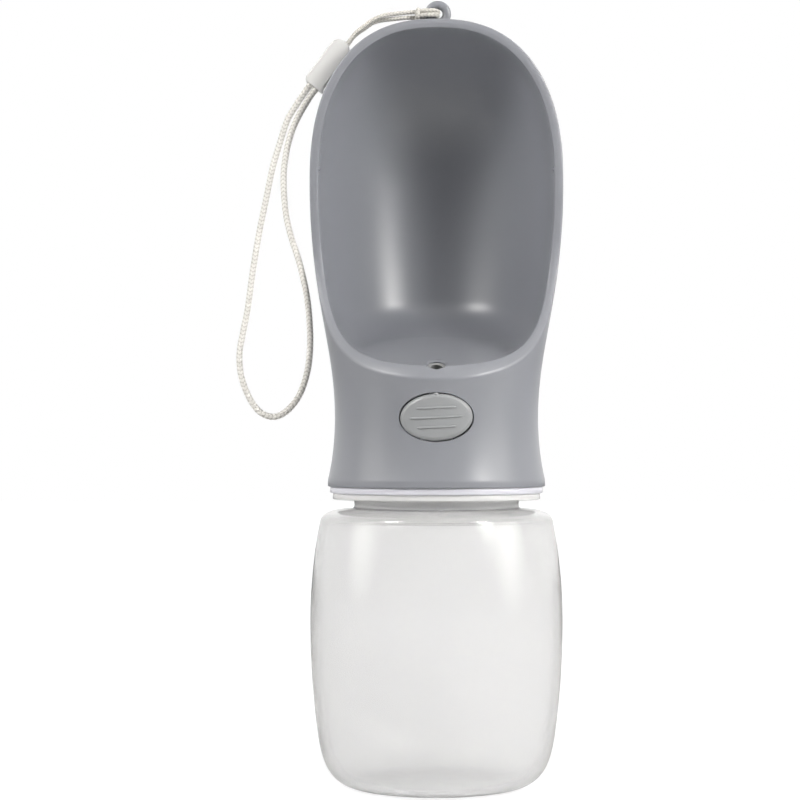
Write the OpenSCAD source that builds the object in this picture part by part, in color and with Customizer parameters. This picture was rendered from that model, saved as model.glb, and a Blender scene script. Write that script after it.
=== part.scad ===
// Dog travel water bottle: a clear bottle, a scoop-shaped drinking cup screwed onto it,
// a push-button valve inside the cup's neck, and a wrist lanyard on the cup's eyelet.
// Origin: centre of the base. +Z up, -Y is the open front of the cup.

/* [Bottle] */
// Widest radius of the bottle's body
body_r = 35.9; // [34:0.1:38]
// Height of the widest place above the base
widest_z = 47; // [42:1:52]
// Radius of the body where the base corner ends
corner_r = 34.2; // [32:0.1:35]
// Height at which the base corner ends
corner_z = 19; // [14:0.5:24]
// Outer radius of the foot ring that the bottle stands on
foot_r = 20; // [18:0.5:24]
// Radius of the hollow inside the foot ring
punt_r = 16; // [12:0.5:17]
// Height of the hollow inside the foot ring
punt_h = 3; // [1:0.5:5]
// Radius of the body at the edge of the shoulder
shoulder_r = 33.1; // [31.5:0.1:34]
// Height of the shoulder's corner
shoulder_h = 3.5; // [2.5:0.1:5]
// Height of the body, from the base to the root of the neck
body_h = 79.3; // [75:0.1:90]
// Wall thickness of the bottle's body
bottle_wall = 1.4; // [1:0.1:2]

/* [Bottle neck] */
// Outer radius of the neck
neck_r = 23.4; // [22.5:0.1:24]
// Wall thickness of the neck
neck_wall = 1.9; // [1.4:0.1:2.4]
// Length of bare neck between the shoulder and the collar
neck_gap = 2.5; // [2:0.1:5]
// Width of the collar under the thread, outside the sleeve's skirt
collar_reach = 2.35; // [1:0.05:2.8]
// Thickness of the collar
collar_t = 1.7; // [1.2:0.1:2.5]
// Height of the threaded neck above the collar
finish_h = 10.6; // [10:0.1:12]

/* [Thread] */
// Rise of the thread in one turn
thread_pitch = 4; // [3.8:0.1:4.2]
// Height of the thread's ridge over the neck
thread_depth = 1.1; // [0.8:0.05:1.2]
// Length of each thread, in turns
thread_turns = 1.25; // [1:0.05:1.3]
// Width of the ridge at its root
ridge_root = 1.9; // [1.6:0.05:2]
// Width of the ridge at its crest
ridge_crest = 0.8; // [0.5:0.05:1]
// Radial gap between a ridge and the wall that it faces
thread_gap = 0.35; // [0.3:0.05:0.5]

/* [Cup and housing] */
// Height of the housing, from its lower edge to the top of the rim
head_h = 133.3; // [128:0.1:145]
// Thickness of the housing around the sleeve at its lower edge
base_wall = 3.75; // [3.4:0.05:4.8]
// Height of the straight lower edge
base_edge = 1.8; // [1:0.1:3]
// Thickness of the housing around the sleeve at the waist
waist_wall = 1.75; // [1.55:0.05:2.4]
// Height of the waist over the lower edge
waist_h = 19.6; // [17:0.1:22]
// Widest radius of the cup
cup_r = 36.2; // [35:0.1:38]
// Height of the widest place of the cup over the lower edge
widest_h = 86.2; // [84:0.1:90]
// Power of the superellipse that closes the top of the cup
top_power = 2.4; // [2:0.1:2.8]
// Wall thickness of the cup and the housing
wall = 2.6; // [2.2:0.1:2.8]
// Radius of the sweep in the rim between the upright sides and the lip
rim_sweep_r = 38; // [34:0.5:42]
// Height of the lowest point of the rim's sweep over the lower edge
lip_h = 32.2; // [31:0.1:34]
// Fall of the bevel on the front of the lip
lip_bevel_h = 4; // [2:0.1:5]
// Depth of the bevel on the front of the lip
lip_bevel_d = 2.5; // [1.5:0.1:3]
// Height of the cup's floor at the lip, over the housing's lower edge
floor_h = 33.2; // [32.5:0.1:34.5]
// Slope of the cup's floor, rising to the back
floor_slope = 12; // [9:0.5:16]
// Radius between the cup's floor and its wall
floor_round = 9; // [6:0.5:12]
// Diameter of the outlet in the cup's floor
outlet_d = 4.9; // [4:0.1:5.2]
// Distance of the outlet in front of the axis
outlet_y = 24.3; // [22:0.1:24.5]

/* [Eyelet] */
// Outer radius of the eyelet on top of the cup
eyelet_r = 3.8; // [3.5:0.1:4.5]
// Thickness of the eyelet's ring
eyelet_t = 2.5; // [2:0.1:2.6]
// Distance of the eyelet behind the rim
eyelet_y = 7; // [6:0.5:9]
// Height of the eyelet's middle over the rim
eyelet_h = 2.5; // [2:0.1:3]

/* [Threaded sleeve and gasket] */
// Width of the sleeve's flange, outside its skirt
flange_reach = 3.05; // [2.4:0.05:3.3]
// Thickness of the sleeve's flange
flange_t = 1.9; // [1.4:0.1:2.4]
// Wall thickness of the sleeve's skirt
sleeve_wall = 2.3; // [2.05:0.05:2.4]
// Thickness of the neck gasket
gasket_t = 1.5; // [1:0.1:2]
// Width that the gasket reaches past the mouth, inside and outside
gasket_reach = 0.6; // [0.3:0.1:0.8]
// Thickness of the valve deck
deck_t = 2; // [1.6:0.1:2.2]

/* [Button] */
// Width of the oval button
button_w = 20.3; // [18:0.1:22]
// Height of the oval button
button_h = 13.4; // [12:0.1:13.6]
// Height of the button's middle over the housing's lower edge
button_z = 19.4; // [19.3:0.1:20.5]
// Distance that the button's face stands out of the waist
button_proud = 0.6; // [0.2:0.1:1.2]
// Depth of the button's side wall, from the face
button_deep = 4; // [3:0.1:4.5]
// Thickness of the button's face and side wall
button_wall = 1.4; // [1:0.1:1.6]
// Gap around the button in its oval hole
button_gap = 0.3; // [0.2:0.05:0.5]
// Angle at which the button rests in its hole
button_lean = 2.5; // [0:0.5:3]
// Travel of the button
button_travel = 2.5; // [2:0.1:2.7]
// Spacing of the three grip ridges
ridge_step = 2.65; // [2:0.05:3]
// Length of the middle grip ridge
ridge_l = 15.3; // [12:0.1:16]
// Length of the outer grip ridges
ridge_short = 11.4; // [9:0.1:12]
// Width of a grip ridge
ridge_w = 0.6; // [0.4:0.05:0.9]
// Height of a grip ridge over the button's face
ridge_h = 0.35; // [0.2:0.05:0.5]

/* [Valve] */
// Radius of the push rod
rod_r = 1.6; // [1.4:0.05:1.8]
// Outer radius of the valve's barrel
barrel_r = 6.4; // [6.2:0.1:6.6]
// Radius of the inlet chamber
chamber_r = 4.8; // [4.6:0.1:5]
// Radius of the outlet chamber
outlet_chamber_r = 3.4; // [3.2:0.1:3.8]
// Radius of the opening in the valve seat
seat_r = 2.4; // [2.2:0.05:2.7]
// Radius of the valve seal
seal_r = 3.9; // [3.6:0.05:4.1]
// Thickness of the valve seal
seal_t = 2; // [1.5:0.1:2.5]
// Radius of the inlet port in the deck
inlet_r = 3.2; // [2.5:0.1:3.5]
// Radial clearance of the rod in its guides
rod_clear = 0.05; // [0.03:0.01:0.1]
// Mean radius of the valve spring
spring_r = 3.4; // [3.3:0.05:3.5]
// Wire diameter of the valve spring
wire_d = 0.6; // [0.5:0.05:0.7]
// Turns of the valve spring
spring_turns = 7; // [5:1:8]
// Outer radius of the outlet tube
tube_r = 3; // [2.8:0.1:3.1]
// Bore radius of the outlet tube
tube_bore = 2.1; // [1.9:0.1:2.2]

/* [Lanyard] */
// Length of the clasp
clasp_l = 15.9; // [14.5:0.1:17]
// Width of the clasp
clasp_w = 6; // [5.6:0.1:6.5]
// Thickness of each half of the clasp
clasp_t = 2; // [1.8:0.1:2.4]
// Wall around the clasp's pocket
clasp_wall = 0.6; // [0.4:0.1:0.6]
// Diameter of the woven wrist cord
strap_d = 1.9; // [1.6:0.1:2]
// Diameter of the thin string
string_d = 1.3; // [1.1:0.05:1.35]

/* [Hidden] */
$fn = 96;
big = 200;
over = 0.5;
fit = 0.05;

// Heights above the base, from the bottle upwards
shoulder_z = body_h - shoulder_h;
collar_z = body_h + neck_gap;
finish_z = collar_z + collar_t;
mouth_z = finish_z + finish_h;
deck_z = mouth_z + gasket_t;
deck_top = deck_z + deck_t;
head_z = finish_z + flange_t;
valve_z = head_z + button_z;
cup_z = head_z + widest_h;
rim_z = head_z + head_h;

// The grip thread: the sleeve's ridge lies half a pitch over the neck's ridge
sleeve_bore = neck_r + thread_depth + thread_gap;
sleeve_r = sleeve_bore + sleeve_wall;
collar_r = sleeve_r + collar_reach;
flange_r = sleeve_r + flange_reach;
base_r = sleeve_r + base_wall;
waist_r = sleeve_r + waist_wall;
thread_z = finish_z + ridge_root / 2 + 1.5;
sleeve_thread_z = thread_z + thread_pitch / 2;

function bezier(p, steps) = [
  for (i = [0:steps])
    let (t = i / steps, s = 1 - t)
      s * s * s * p[0] + 3 * s * s * t * p[1] + 3 * s * t * t * p[2] + t * t * t * p[3]
];

// Outline of the bottle's body from the foot to the neck, set in by a wall thickness
function body_curve(inset) = concat(
  bezier([
    [foot_r - inset / 2, inset],
    [foot_r + (corner_r - foot_r) * 0.74 - inset, inset],
    [corner_r - 1.3 - inset, corner_z * 0.34 + inset / 2],
    [corner_r - inset, corner_z]
  ], 8),
  [
    for (t = [1/3, 2/3, 1])
      [body_r - inset - (body_r - corner_r) * pow(1 - t, 2), corner_z + (widest_z - corner_z) * t]
  ],
  [
    for (t = [1/4, 2/4, 3/4])
      [body_r - inset - (body_r - shoulder_r) * t * t, widest_z + (shoulder_z - widest_z) * t]
  ],
  bezier([
    [shoulder_r - inset, shoulder_z - inset / 2],
    [shoulder_r - 0.4 - inset, shoulder_z + 0.5 * shoulder_h - inset],
    [shoulder_r - 2 - inset, body_h - 1 - inset],
    [(shoulder_r + neck_r) / 2 - inset, body_h - 0.4 - inset]
  ], 5)
);

function reversed(list) = [for (i = [len(list) - 1:-1:0]) list[i]];

// Outline of the housing's outside, a surface of revolution, from the lower edge to the rim's top
function top_r(t) = pow(1 - pow(t, top_power), 1 / top_power);
skin = concat(
  [[base_r, head_z]],
  bezier([
    [base_r, head_z + base_edge],
    [base_r - 1.2, head_z + base_edge + 0.28 * (waist_h - base_edge)],
    [waist_r, head_z + base_edge + 0.6 * (waist_h - base_edge)],
    [waist_r, head_z + waist_h]
  ], 5),
  [
    for (i = [1:9])
      bezier([
        [waist_r, head_z + waist_h],
        [waist_r, head_z + waist_h + 0.31 * (widest_h - waist_h)],
        [cup_r, head_z + waist_h + 0.53 * (widest_h - waist_h)],
        [cup_r, cup_z]
      ], 9)[i]
  ],
  [for (a = [10:8:82]) [cup_r * top_r(sin(a)), cup_z + (rim_z - cup_z) * sin(a)]]
);
skin_table = [for (p = skin) [p[1], p[0]]];
function skin_r(z) = lookup(z, skin_table);

// Outline of the housing's inside, one wall inside the skin
inner_skin = concat(
  [for (p = skin) if (p[1] < cup_z + 0.01) [p[0] - wall, p[1]]],
  [for (a = [10:8:82]) [(cup_r - wall) * top_r(sin(a)), cup_z + (rim_z - wall - cup_z) * sin(a)]]
);

// The cup's floor is a plane that rises to the back from the lip
lip_y = skin_r(head_z + floor_h) - wall;
function floor_z(y) = head_z + floor_h + (y + lip_y) * tan(floor_slope);
bowl_y = 1.5;
bowl_z = floor_z(bowl_y) + floor_round / cos(floor_slope);
bowl_side = skin_r(bowl_z) - wall;
bowl_back = (skin_r(bowl_z + cup_r * sin(floor_slope)) - wall - bowl_y) / cos(floor_slope);
bowl_r = max(bowl_side, bowl_back) + 0.1;
sweep_z = head_z + lip_h + rim_sweep_r;

// Places along the valve's axis, as distances from the bottle's axis; the front is negative
seat_y = -5;
seat_t = 2.5;
flange_w = 1.2;
spring_y0 = seat_y + seal_t + flange_w;
spring_y1 = 12;
barrel_y0 = -20.5;
barrel_y1 = 17;
gland_t = 1.1;
oring_r = 0.7;
front_wall = 1;
gland_r = rod_r + 2 * oring_r;
guide_l = 7;
guide_r = 2.6;
rod_tail = spring_y1 - guide_l + 2.5;
plug_ring_y = 14.5;
plug_ring_r = 0.6;
boss_r = 2.8;
boss_gap = 0.3;
boss_y = barrel_y0 - button_travel - boss_gap;
face_r = waist_r + button_proud;
spout_y = -12;
spout_z = floor_z(-outlet_y);
spout_tilt = atan2(outlet_y + spout_y, spout_z - valve_z);
spout_l = norm([outlet_y + spout_y, spout_z - valve_z]);
socket_depth = 1.2;
under_floor = spout_l - wall / cos(spout_tilt - floor_slope);
tube_from = (barrel_r + tube_r * sin(spout_tilt)) / cos(spout_tilt) + fit;
inlet_y = 5;

// The clasp lies against the left flank of the cup, its round end up
clasp_at = [-35.78, 7, 200.45];
clasp_tilt = 37.2;
clasp_tooth = 0.5;
strap_aside = 0.35;

// Routes of the free cords, as round numbers
strap_route = [
  [-32.77, 7, 202.18], [-34.58, 7, 199.79], [-36.38, 7, 197.39], [-39.99, 6.6, 191.18], [-42.09, 6.2, 185.8],
  [-43.4, 5.7, 179.7], [-43.9, 5.1, 173.1], [-43.3, 4.4, 164.4], [-41.8, 3.7, 157.3], [-39.2, 2.9, 149.2],
  [-37.1, 2, 140.1], [-36.2, 1.1, 132.1], [-36, 0, 125], [-36.8, 0, 118], [-39, 0, 111.5],
  [-42.5, 0, 107], [-46.3, 0, 105.2], [-50.3, 0, 106.6], [-53.4, 0, 110.8], [-55.6, 0, 116.8],
  [-56.1, 0, 123], [-55.1, 0.8, 129.5], [-53.9, 1.6, 136.1], [-52.6, 2.6, 146.2], [-50.9, 3.7, 157.3],
  [-49.1, 4.5, 166.5], [-47.2, 5.4, 176.1], [-45.38, 5.9, 182.68], [-43.12, 6.5, 189.99], [-40.75, 6.8, 194.35],
  [-37.63, 7, 199.09], [-35.75, 7, 201.56], [-33.72, 7, 204.41]
];
string_route = [
  [-27.38, 6.25, 210.77], [-25.65, 6.25, 212.47], [-24.34, 6.25, 214.18], [-22.9, 6.25, 215.87], [-21, 6.25, 217.37],
  [-18.41, 6, 219.22], [-15.18, 5.85, 220.55], [-11.96, 5.8, 221.03], [-8.8, 5.75, 221.39], [-5.7, 6, 221.6],
  [-3.2, 5.2, 221.9], [-1.2, 5, 221.9], [0.2, 5.7, 221.75], [0.5, 7, 221.65], [0.2, 8.4, 221.5],
  [-1.2, 9.25, 221.2], [-3.2, 9, 220.9], [-5.7, 7.2, 220.2], [-8.8, 6.2, 219.98], [-11.94, 6.5, 219.72],
  [-15.06, 6.9, 219.47], [-18.21, 7.3, 218.77], [-20.76, 7.6, 217.09], [-22.75, 7.72, 215.79], [-24.31, 7.75, 214.29],
  [-25.65, 7.75, 212.47], [-27.38, 7.75, 210.77]
];

// A smooth curve through the route's points, two steps to a span
function between(a, b, c, d, t) =
  0.5 * (2 * b + (c - a) * t + (2 * a - 5 * b + 4 * c - d) * t * t + (3 * b - a - 3 * c + d) * t * t * t);
function smooth(route, steps) = let (last = len(route) - 1) concat(
  [
    for (i = [0:last - 1], k = [0:steps - 1])
      between(route[max(i - 1, 0)], route[i], route[i + 1], route[min(i + 2, last)], k / steps)
  ],
  [route[last]]
);
function unit(v) = v / norm(v);
function tangents(path) = let (last = len(path) - 1) [
  for (i = [0:last]) unit(path[min(i + 1, last)] - path[max(i - 1, 0)])
];
function square_to(v, t) = unit(v - (v * t) * t);
function normals(tan, start) = [
  for (i = 0, n = square_to(start, tan[0]); i < len(tan); i = i + 1, n = square_to(n, tan[min(i, len(tan) - 1)])) n
];

// Skins a list of rings, each with the same number of points, and closes both ends
module loft(rings) {
  sides = len(rings[0]);
  last = len(rings) - 1;
  points = [for (ring = rings, p = ring) p];
  walls = [
    for (i = [0:last - 1], k = [0:sides - 1])
      let (a = i * sides + k, b = i * sides + (k + 1) % sides)
        each [[a, b, b + sides], [a, b + sides, a + sides]]
  ];
  ends = [[for (k = [sides - 1:-1:0]) k], [for (k = [0:sides - 1]) last * sides + k]];
  polyhedron(points, concat(walls, ends), convexity = 10);
}

module tube_along(path, d, sides, start) {
  tan = tangents(path);
  nor = normals(tan, start);
  loft([
    for (i = [0:len(path) - 1])
      let (side = cross(tan[i], nor[i]))
        [for (k = [0:sides - 1]) path[i] + d / 2 * (cos(360 * k / sides) * nor[i] + sin(360 * k / sides) * side)]
  ]);
}

// A thread's ridge: its root is sunk in the wall, and both ends run out to nothing
module helix_ridge(root, crest, z) {
  steps = ceil(thread_turns * 30);
  sink = root < crest ? -0.3 : 0.3;
  fade = 4;
  loft([
    for (i = [0:steps])
      let (
        a = 360 * thread_turns * i / steps,
        tip = root + (crest - root) * min(1, (i + 0.2) / fade, (steps - i + 0.2) / fade),
        mid = z + thread_pitch * a / 360,
        ring = [
          [root + sink, mid - ridge_root / 2],
          [tip, mid - ridge_crest / 2],
          [tip, mid + ridge_crest / 2],
          [root + sink, mid + ridge_root / 2]
        ]
      )
        [for (p = root < crest ? ring : reversed(ring)) [p[0] * cos(a), p[0] * sin(a), p[1]]]
  ]);
}

module ring(outer, inner, h) {
  difference() {
    cylinder(r = outer, h = h);
    translate([0, 0, -over]) cylinder(r = inner, h = h + 2 * over);
  }
}

module o_ring(middle, r) {
  rotate_extrude() translate([middle, 0]) circle(r, $fn = 24);
}

// Puts a shape that is drawn along +Z onto the valve's axis, pointing to the back
module on_valve(y) {
  translate([0, y, valve_z]) rotate([-90, 0, 0]) children();
}

module on_spout(along) {
  translate([0, spout_y, valve_z]) rotate([spout_tilt, 0, 0]) translate([0, 0, along]) children();
}

module oval(grow, y0, depth) {
  translate([0, y0, valve_z]) rotate([-90, 0, 0])
    scale([(button_w / 2 + grow) / (button_h / 2 + grow), 1, 1])
      cylinder(r = button_h / 2 + grow, h = depth);
}

module bottle() {
  outside = body_curve(0);
  inside = body_curve(bottle_wall);
  color([0.93, 0.95, 0.95, 0.4]) {
    rotate_extrude() polygon(concat(
      [[0, punt_h], [punt_r * 0.55, punt_h * 0.78], [punt_r, 0]],
      outside,
      [
        [neck_r + 0.8, body_h - 0.2],
        [neck_r, body_h + 0.5],
        [neck_r, collar_z],
        [collar_r, collar_z],
        [collar_r, finish_z],
        [neck_r, finish_z],
        [neck_r, mouth_z - 0.4],
        [neck_r - 0.4, mouth_z],
        [neck_r - neck_wall, mouth_z],
        [neck_r - neck_wall, body_h - bottle_wall]
      ],
      reversed(inside),
      [[punt_r, bottle_wall], [punt_r * 0.55, punt_h * 0.78 + bottle_wall], [0, punt_h + bottle_wall]]
    ));
    helix_ridge(neck_r, neck_r + thread_depth, thread_z);
  }
}

module neck_gasket() {
  color("whitesmoke") translate([0, 0, mouth_z])
    ring(neck_r + gasket_reach, neck_r - neck_wall - gasket_reach, gasket_t);
}

module threaded_sleeve() {
  color([0.75, 0.75, 0.8]) {
    translate([0, 0, finish_z]) ring(flange_r, sleeve_bore, flange_t);
    translate([0, 0, finish_z]) ring(sleeve_r, sleeve_bore, deck_z - finish_z);
    helix_ridge(sleeve_bore, neck_r + thread_gap, sleeve_thread_z);
  }
}

// The rounded bottom of the cup's hollow: the back half of a tilted dish, run on towards the lip.
// It is a little wider than the hollow, so that the cup's wall trims it all round.
module bowl() {
  flat = bowl_r - floor_round;
  corner = [for (a = [0:15:90]) [flat + floor_round * sin(a), -floor_round * cos(a)]];
  translate([0, bowl_y, bowl_z]) rotate([floor_slope, 0, 0]) {
    rotate_extrude(angle = 180)
      polygon(concat([[0, 1], [0, -floor_round]], corner, [[bowl_r, 1]]));
    rotate([90, 0, 0]) linear_extrude(big / 4)
      polygon(concat([[bowl_r, 1]], reversed(corner), [for (p = corner) [-p[0], p[1]]], [[-bowl_r, 1]]));
  }
}

module cup_hollow() {
  intersection() {
    rotate_extrude() polygon(concat([[0, head_z + lip_h - 2 * wall]],
      [for (p = inner_skin) if (p[1] > head_z + lip_h - 2 * wall) p], [[0, rim_z - wall]]));
    union() {
      bowl();
      translate([0, bowl_y, bowl_z]) rotate([floor_slope, 0, 0])
        translate([-big / 2, -big / 2, 0]) cube(big);
    }
  }
}

// What is cut off the front: everything before the rim's plane and above its sweep to the lip
module front_cut() {
  lip_angle = asin((rim_sweep_r - lip_y) / rim_sweep_r);
  sweep = [
    for (i = [0:12])
      let (a = 90 + (lip_angle - 90) * i / 12)
        [-rim_sweep_r + rim_sweep_r * sin(a), sweep_z - rim_sweep_r * cos(a)]
  ];
  lip_top = sweep[12][1];
  bevel_end = [-lip_y - 4 * lip_bevel_d, lip_top - 4 * lip_bevel_h];
  translate([-big / 2, 0, 0]) rotate([90, 0, 90]) linear_extrude(big)
    polygon(concat([[0, big + rim_z]], sweep, [bevel_end, [-big, bevel_end[1]], [-big, big + rim_z]]));
}

module neck_hollow() {
  translate([0, 0, head_z - over]) cylinder(r = sleeve_r + fit, h = deck_top - head_z + over);
  intersection() {
    rotate_extrude() polygon(concat([[0, deck_top - over]],
      [[skin_r(deck_top) - wall, deck_top - over]],
      [for (p = inner_skin) if (p[1] > deck_top && p[1] < cup_z) p],
      [[0, cup_z - 1]]));
    translate([0, 0, floor_z(0) - wall / cos(floor_slope)]) rotate([floor_slope, 0, 0])
      translate([-big / 2, -big / 2, -big]) cube(big);
  }
}

module housing() {
  color([0.6, 0.61, 0.61]) {
    difference() {
      rotate_extrude() polygon(concat([[0, head_z]], skin, [[0, rim_z]]));
      front_cut();
      cup_hollow();
      neck_hollow();
      oval(button_gap, -big / 2, big / 2 + barrel_y0);
      on_spout(under_floor - over) cylinder(r = outlet_d / 2, h = big / 10);
      on_spout(under_floor - big / 20) cylinder(r = tube_r + fit, h = big / 20 + socket_depth);
    }
    translate([0, eyelet_y, rim_z + eyelet_h]) rotate([90, 0, 0]) o_ring(eyelet_r - eyelet_t / 2, eyelet_t / 2);
  }
}

module valve_body() {
  saddle_w = 9;
  color([0.86, 0.87, 0.88]) difference() {
    union() {
      translate([0, 0, deck_z]) cylinder(r = sleeve_r, h = deck_t);
      on_valve(barrel_y0) cylinder(r = barrel_r, h = barrel_y1 - barrel_y0);
      translate([-saddle_w / 2, barrel_y0, deck_z])
        cube([saddle_w, barrel_y1 - barrel_y0, valve_z - deck_z]);
      on_spout(0) cylinder(r = tube_bore, h = tube_from + 3);
    }
    on_valve(seat_y) cylinder(r = chamber_r, h = big);
    on_valve(seat_y - seat_t - over) cylinder(r = seat_r, h = seat_t + 2 * over);
    on_valve(barrel_y0 + gland_t + 2 * oring_r + front_wall)
      cylinder(r = outlet_chamber_r, h = seat_y - seat_t - barrel_y0 - gland_t - 2 * oring_r - front_wall);
    on_valve(-big / 2) cylinder(r = rod_r + rod_clear, h = big / 2);
    on_valve(-big / 2) cylinder(r = gland_r, h = big / 2 + barrel_y0 + gland_t + 2 * oring_r);
    on_spout(0) cylinder(r = tube_bore - 0.6, h = big);
    translate([0, inlet_y, deck_z - over]) cylinder(r = inlet_r, h = valve_z - deck_z);
  }
}

module push_rod() {
  color("gainsboro") {
    on_valve(boss_y - 3) cylinder(r = rod_r, h = rod_tail - boss_y + 3);
    on_valve(seat_y + seal_t) cylinder(r = seal_r - 0.3, h = flange_w);
  }
}

module valve_seal() {
  color("dimgray") on_valve(seat_y) ring(seal_r, rod_r, seal_t);
}

module valve_spring() {
  steps = spring_turns * 14;
  rise = spring_y1 - spring_y0 - wire_d;
  coil = [
    for (i = [0:steps])
      [spring_r * cos(360 * i / 14), spring_r * sin(360 * i / 14), wire_d / 2 + rise * i / steps]
  ];
  color("silver") on_valve(spring_y0) tube_along(coil, wire_d, 6, [1, 0, 0]);
}

module stem_seal() {
  color("dimgray") on_valve(barrel_y0 + gland_t + oring_r)
    o_ring(rod_r + oring_r + rod_clear / 2, oring_r - rod_clear / 2);
}

module gland_bush() {
  color("gainsboro") on_valve(barrel_y0) ring(gland_r, rod_r + rod_clear, gland_t);
}

module end_plug() {
  plug_l = barrel_y1 - spring_y1;
  groove_w = 2 * plug_ring_r + 0.1;
  color("gainsboro") difference() {
    union() {
      on_valve(spring_y1) cylinder(r = chamber_r - fit, h = plug_l);
      on_valve(spring_y1 - guide_l) cylinder(r = guide_r, h = guide_l + over);
      on_valve(barrel_y1) cylinder(r = barrel_r, h = flange_w);
    }
    on_valve(plug_ring_y - groove_w / 2) ring(big / 10, chamber_r - 2 * plug_ring_r, groove_w);
    on_valve(spring_y1 - guide_l - over) cylinder(r = rod_r + 0.15, h = guide_l - 1 + over);
  }
}

module end_plug_seal() {
  color("dimgray") on_valve(plug_ring_y) o_ring(chamber_r - plug_ring_r, plug_ring_r);
}

module outlet_tube() {
  color([0.8, 0.8, 0.78]) on_spout(tube_from)
    ring(tube_r, tube_bore, under_floor + socket_depth - tube_from);
}

module button_shape() {
  difference() {
    intersection() {
      oval(0, -face_r - over, button_deep + over);
      translate([0, 0, valve_z - button_h]) cylinder(r = face_r, h = 2 * button_h);
    }
    difference() {
      oval(-button_wall, -face_r, 2 * button_deep);
      difference() {
        translate([0, 0, valve_z - button_h]) cylinder(r = big, h = 2 * button_h);
        translate([0, 0, valve_z - button_h - over]) cylinder(r = face_r - button_wall, h = 2 * button_h + 2 * over);
      }
    }
  }
  difference() {
    on_valve(-face_r + button_wall / 2) cylinder(r = boss_r, h = boss_y + face_r - button_wall / 2);
    on_valve(boss_y - 3) cylinder(r = rod_r, h = big);
  }
  for (row = [-1:1]) {
    l = row == 0 ? ridge_l : ridge_short;
    intersection() {
      translate([-l / 2, -big / 4, valve_z + row * ridge_step - ridge_w / 2]) cube([l, big / 8, ridge_w]);
      translate([0, 0, valve_z - button_h]) ring(face_r + ridge_h, face_r - over, 2 * button_h);
    }
  }
}

module button() {
  color([0.66, 0.67, 0.67]) translate([0, 0, valve_z]) rotate([0, -button_lean, 0]) translate([0, 0, -valve_z])
    button_shape();
}

// Drawn flat: +Y runs from the square end to the round end, and the split face is at z = 0
module clasp_half() {
  round = clasp_w / 2;
  inner = round - clasp_wall;
  strap_way = 2 * strap_d + 0.5;
  difference() {
    union() {
      cylinder(r = round, h = clasp_t);
      translate([-round, -clasp_l + round, 0]) cube([clasp_w, clasp_l - round, clasp_t]);
      translate([-round, -clasp_l + round, 0]) cube([clasp_w + clasp_tooth, 1, clasp_t]);
    }
    translate([0, 0, -over]) cylinder(r = inner, h = over + strap_d / 2 + 0.1);
    translate([-inner, -clasp_l + round + 1.5, -over])
      cube([2 * inner, clasp_l - round - 1.5, over + strap_d / 2 + 0.1]);
    translate([strap_aside - strap_way / 2, -clasp_l + round - over, -over])
      cube([strap_way, 3, over + strap_d / 2 + 0.1]);
    translate([-string_d - 0.4, 0, -over]) cube([2 * string_d + 0.8, clasp_w, over + string_d + 0.2]);
  }
}

module at_clasp() {
  translate(clasp_at) rotate([0, clasp_tilt, 0]) rotate([90, 0, 0])
    translate([0, clasp_l - clasp_w / 2, 0]) children();
}

module clasp_front() {
  color("lightgray") at_clasp() clasp_half();
}

module clasp_back() {
  color("silver") at_clasp() mirror([0, 0, 1]) clasp_half();
}

module lanyard_string() {
  color([0.85, 0.84, 0.8]) tube_along(smooth(string_route, 2), string_d, 8, [0, 1, 0]);
}

module wrist_strap() {
  color([0.88, 0.87, 0.84]) tube_along(smooth(strap_route, 2), strap_d, 8, [0, 1, 0]);
}

bottle();
neck_gasket();
threaded_sleeve();
housing();
valve_body();
push_rod();
valve_seal();
valve_spring();
stem_seal();
gland_bush();
end_plug();
end_plug_seal();
outlet_tube();
button();
clasp_front();
clasp_back();
lanyard_string();
wrist_strap();
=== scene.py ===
import math

import bmesh
import bpy
import numpy as np
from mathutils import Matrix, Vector


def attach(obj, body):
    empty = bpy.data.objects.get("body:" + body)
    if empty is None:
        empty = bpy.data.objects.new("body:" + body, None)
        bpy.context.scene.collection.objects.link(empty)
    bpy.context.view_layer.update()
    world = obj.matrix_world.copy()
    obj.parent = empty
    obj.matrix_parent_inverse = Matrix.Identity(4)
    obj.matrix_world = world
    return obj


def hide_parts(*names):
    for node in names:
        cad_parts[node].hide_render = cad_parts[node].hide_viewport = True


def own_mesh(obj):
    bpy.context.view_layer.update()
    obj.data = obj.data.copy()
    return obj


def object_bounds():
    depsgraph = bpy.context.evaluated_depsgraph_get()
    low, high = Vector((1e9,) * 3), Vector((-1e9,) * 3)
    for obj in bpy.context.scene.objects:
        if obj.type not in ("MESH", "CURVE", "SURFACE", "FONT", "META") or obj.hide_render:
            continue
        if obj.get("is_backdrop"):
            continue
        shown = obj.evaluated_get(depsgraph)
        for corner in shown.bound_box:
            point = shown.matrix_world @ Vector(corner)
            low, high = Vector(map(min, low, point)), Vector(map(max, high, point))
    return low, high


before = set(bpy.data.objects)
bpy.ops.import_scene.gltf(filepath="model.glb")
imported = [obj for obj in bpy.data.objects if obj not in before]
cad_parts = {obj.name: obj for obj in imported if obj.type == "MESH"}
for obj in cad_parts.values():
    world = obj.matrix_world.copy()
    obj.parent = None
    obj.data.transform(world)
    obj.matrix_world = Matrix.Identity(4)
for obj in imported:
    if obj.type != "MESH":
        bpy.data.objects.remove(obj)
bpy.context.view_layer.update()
mm = 0.001
print("frame loaded")


def hexToLinear(code):
    parts = [int(code[i:i + 2], 16) / 255 for i in (1, 3, 5)]
    return [c / 12.92 if c <= 0.04045 else ((c + 0.055) / 1.055) ** 2.4 for c in parts] + [1]


def addNode(tree, kind, settings=(), links=()):
    node = tree.nodes.new("ShaderNode" + kind)
    for key, value in dict(settings).items():
        if isinstance(key, int) or key in node.inputs:
            node.inputs[key].default_value = value
        else:
            setattr(node, key, value)
    for key, socket in dict(links).items():
        tree.links.new(node.inputs[key], socket)
    return node


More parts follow.
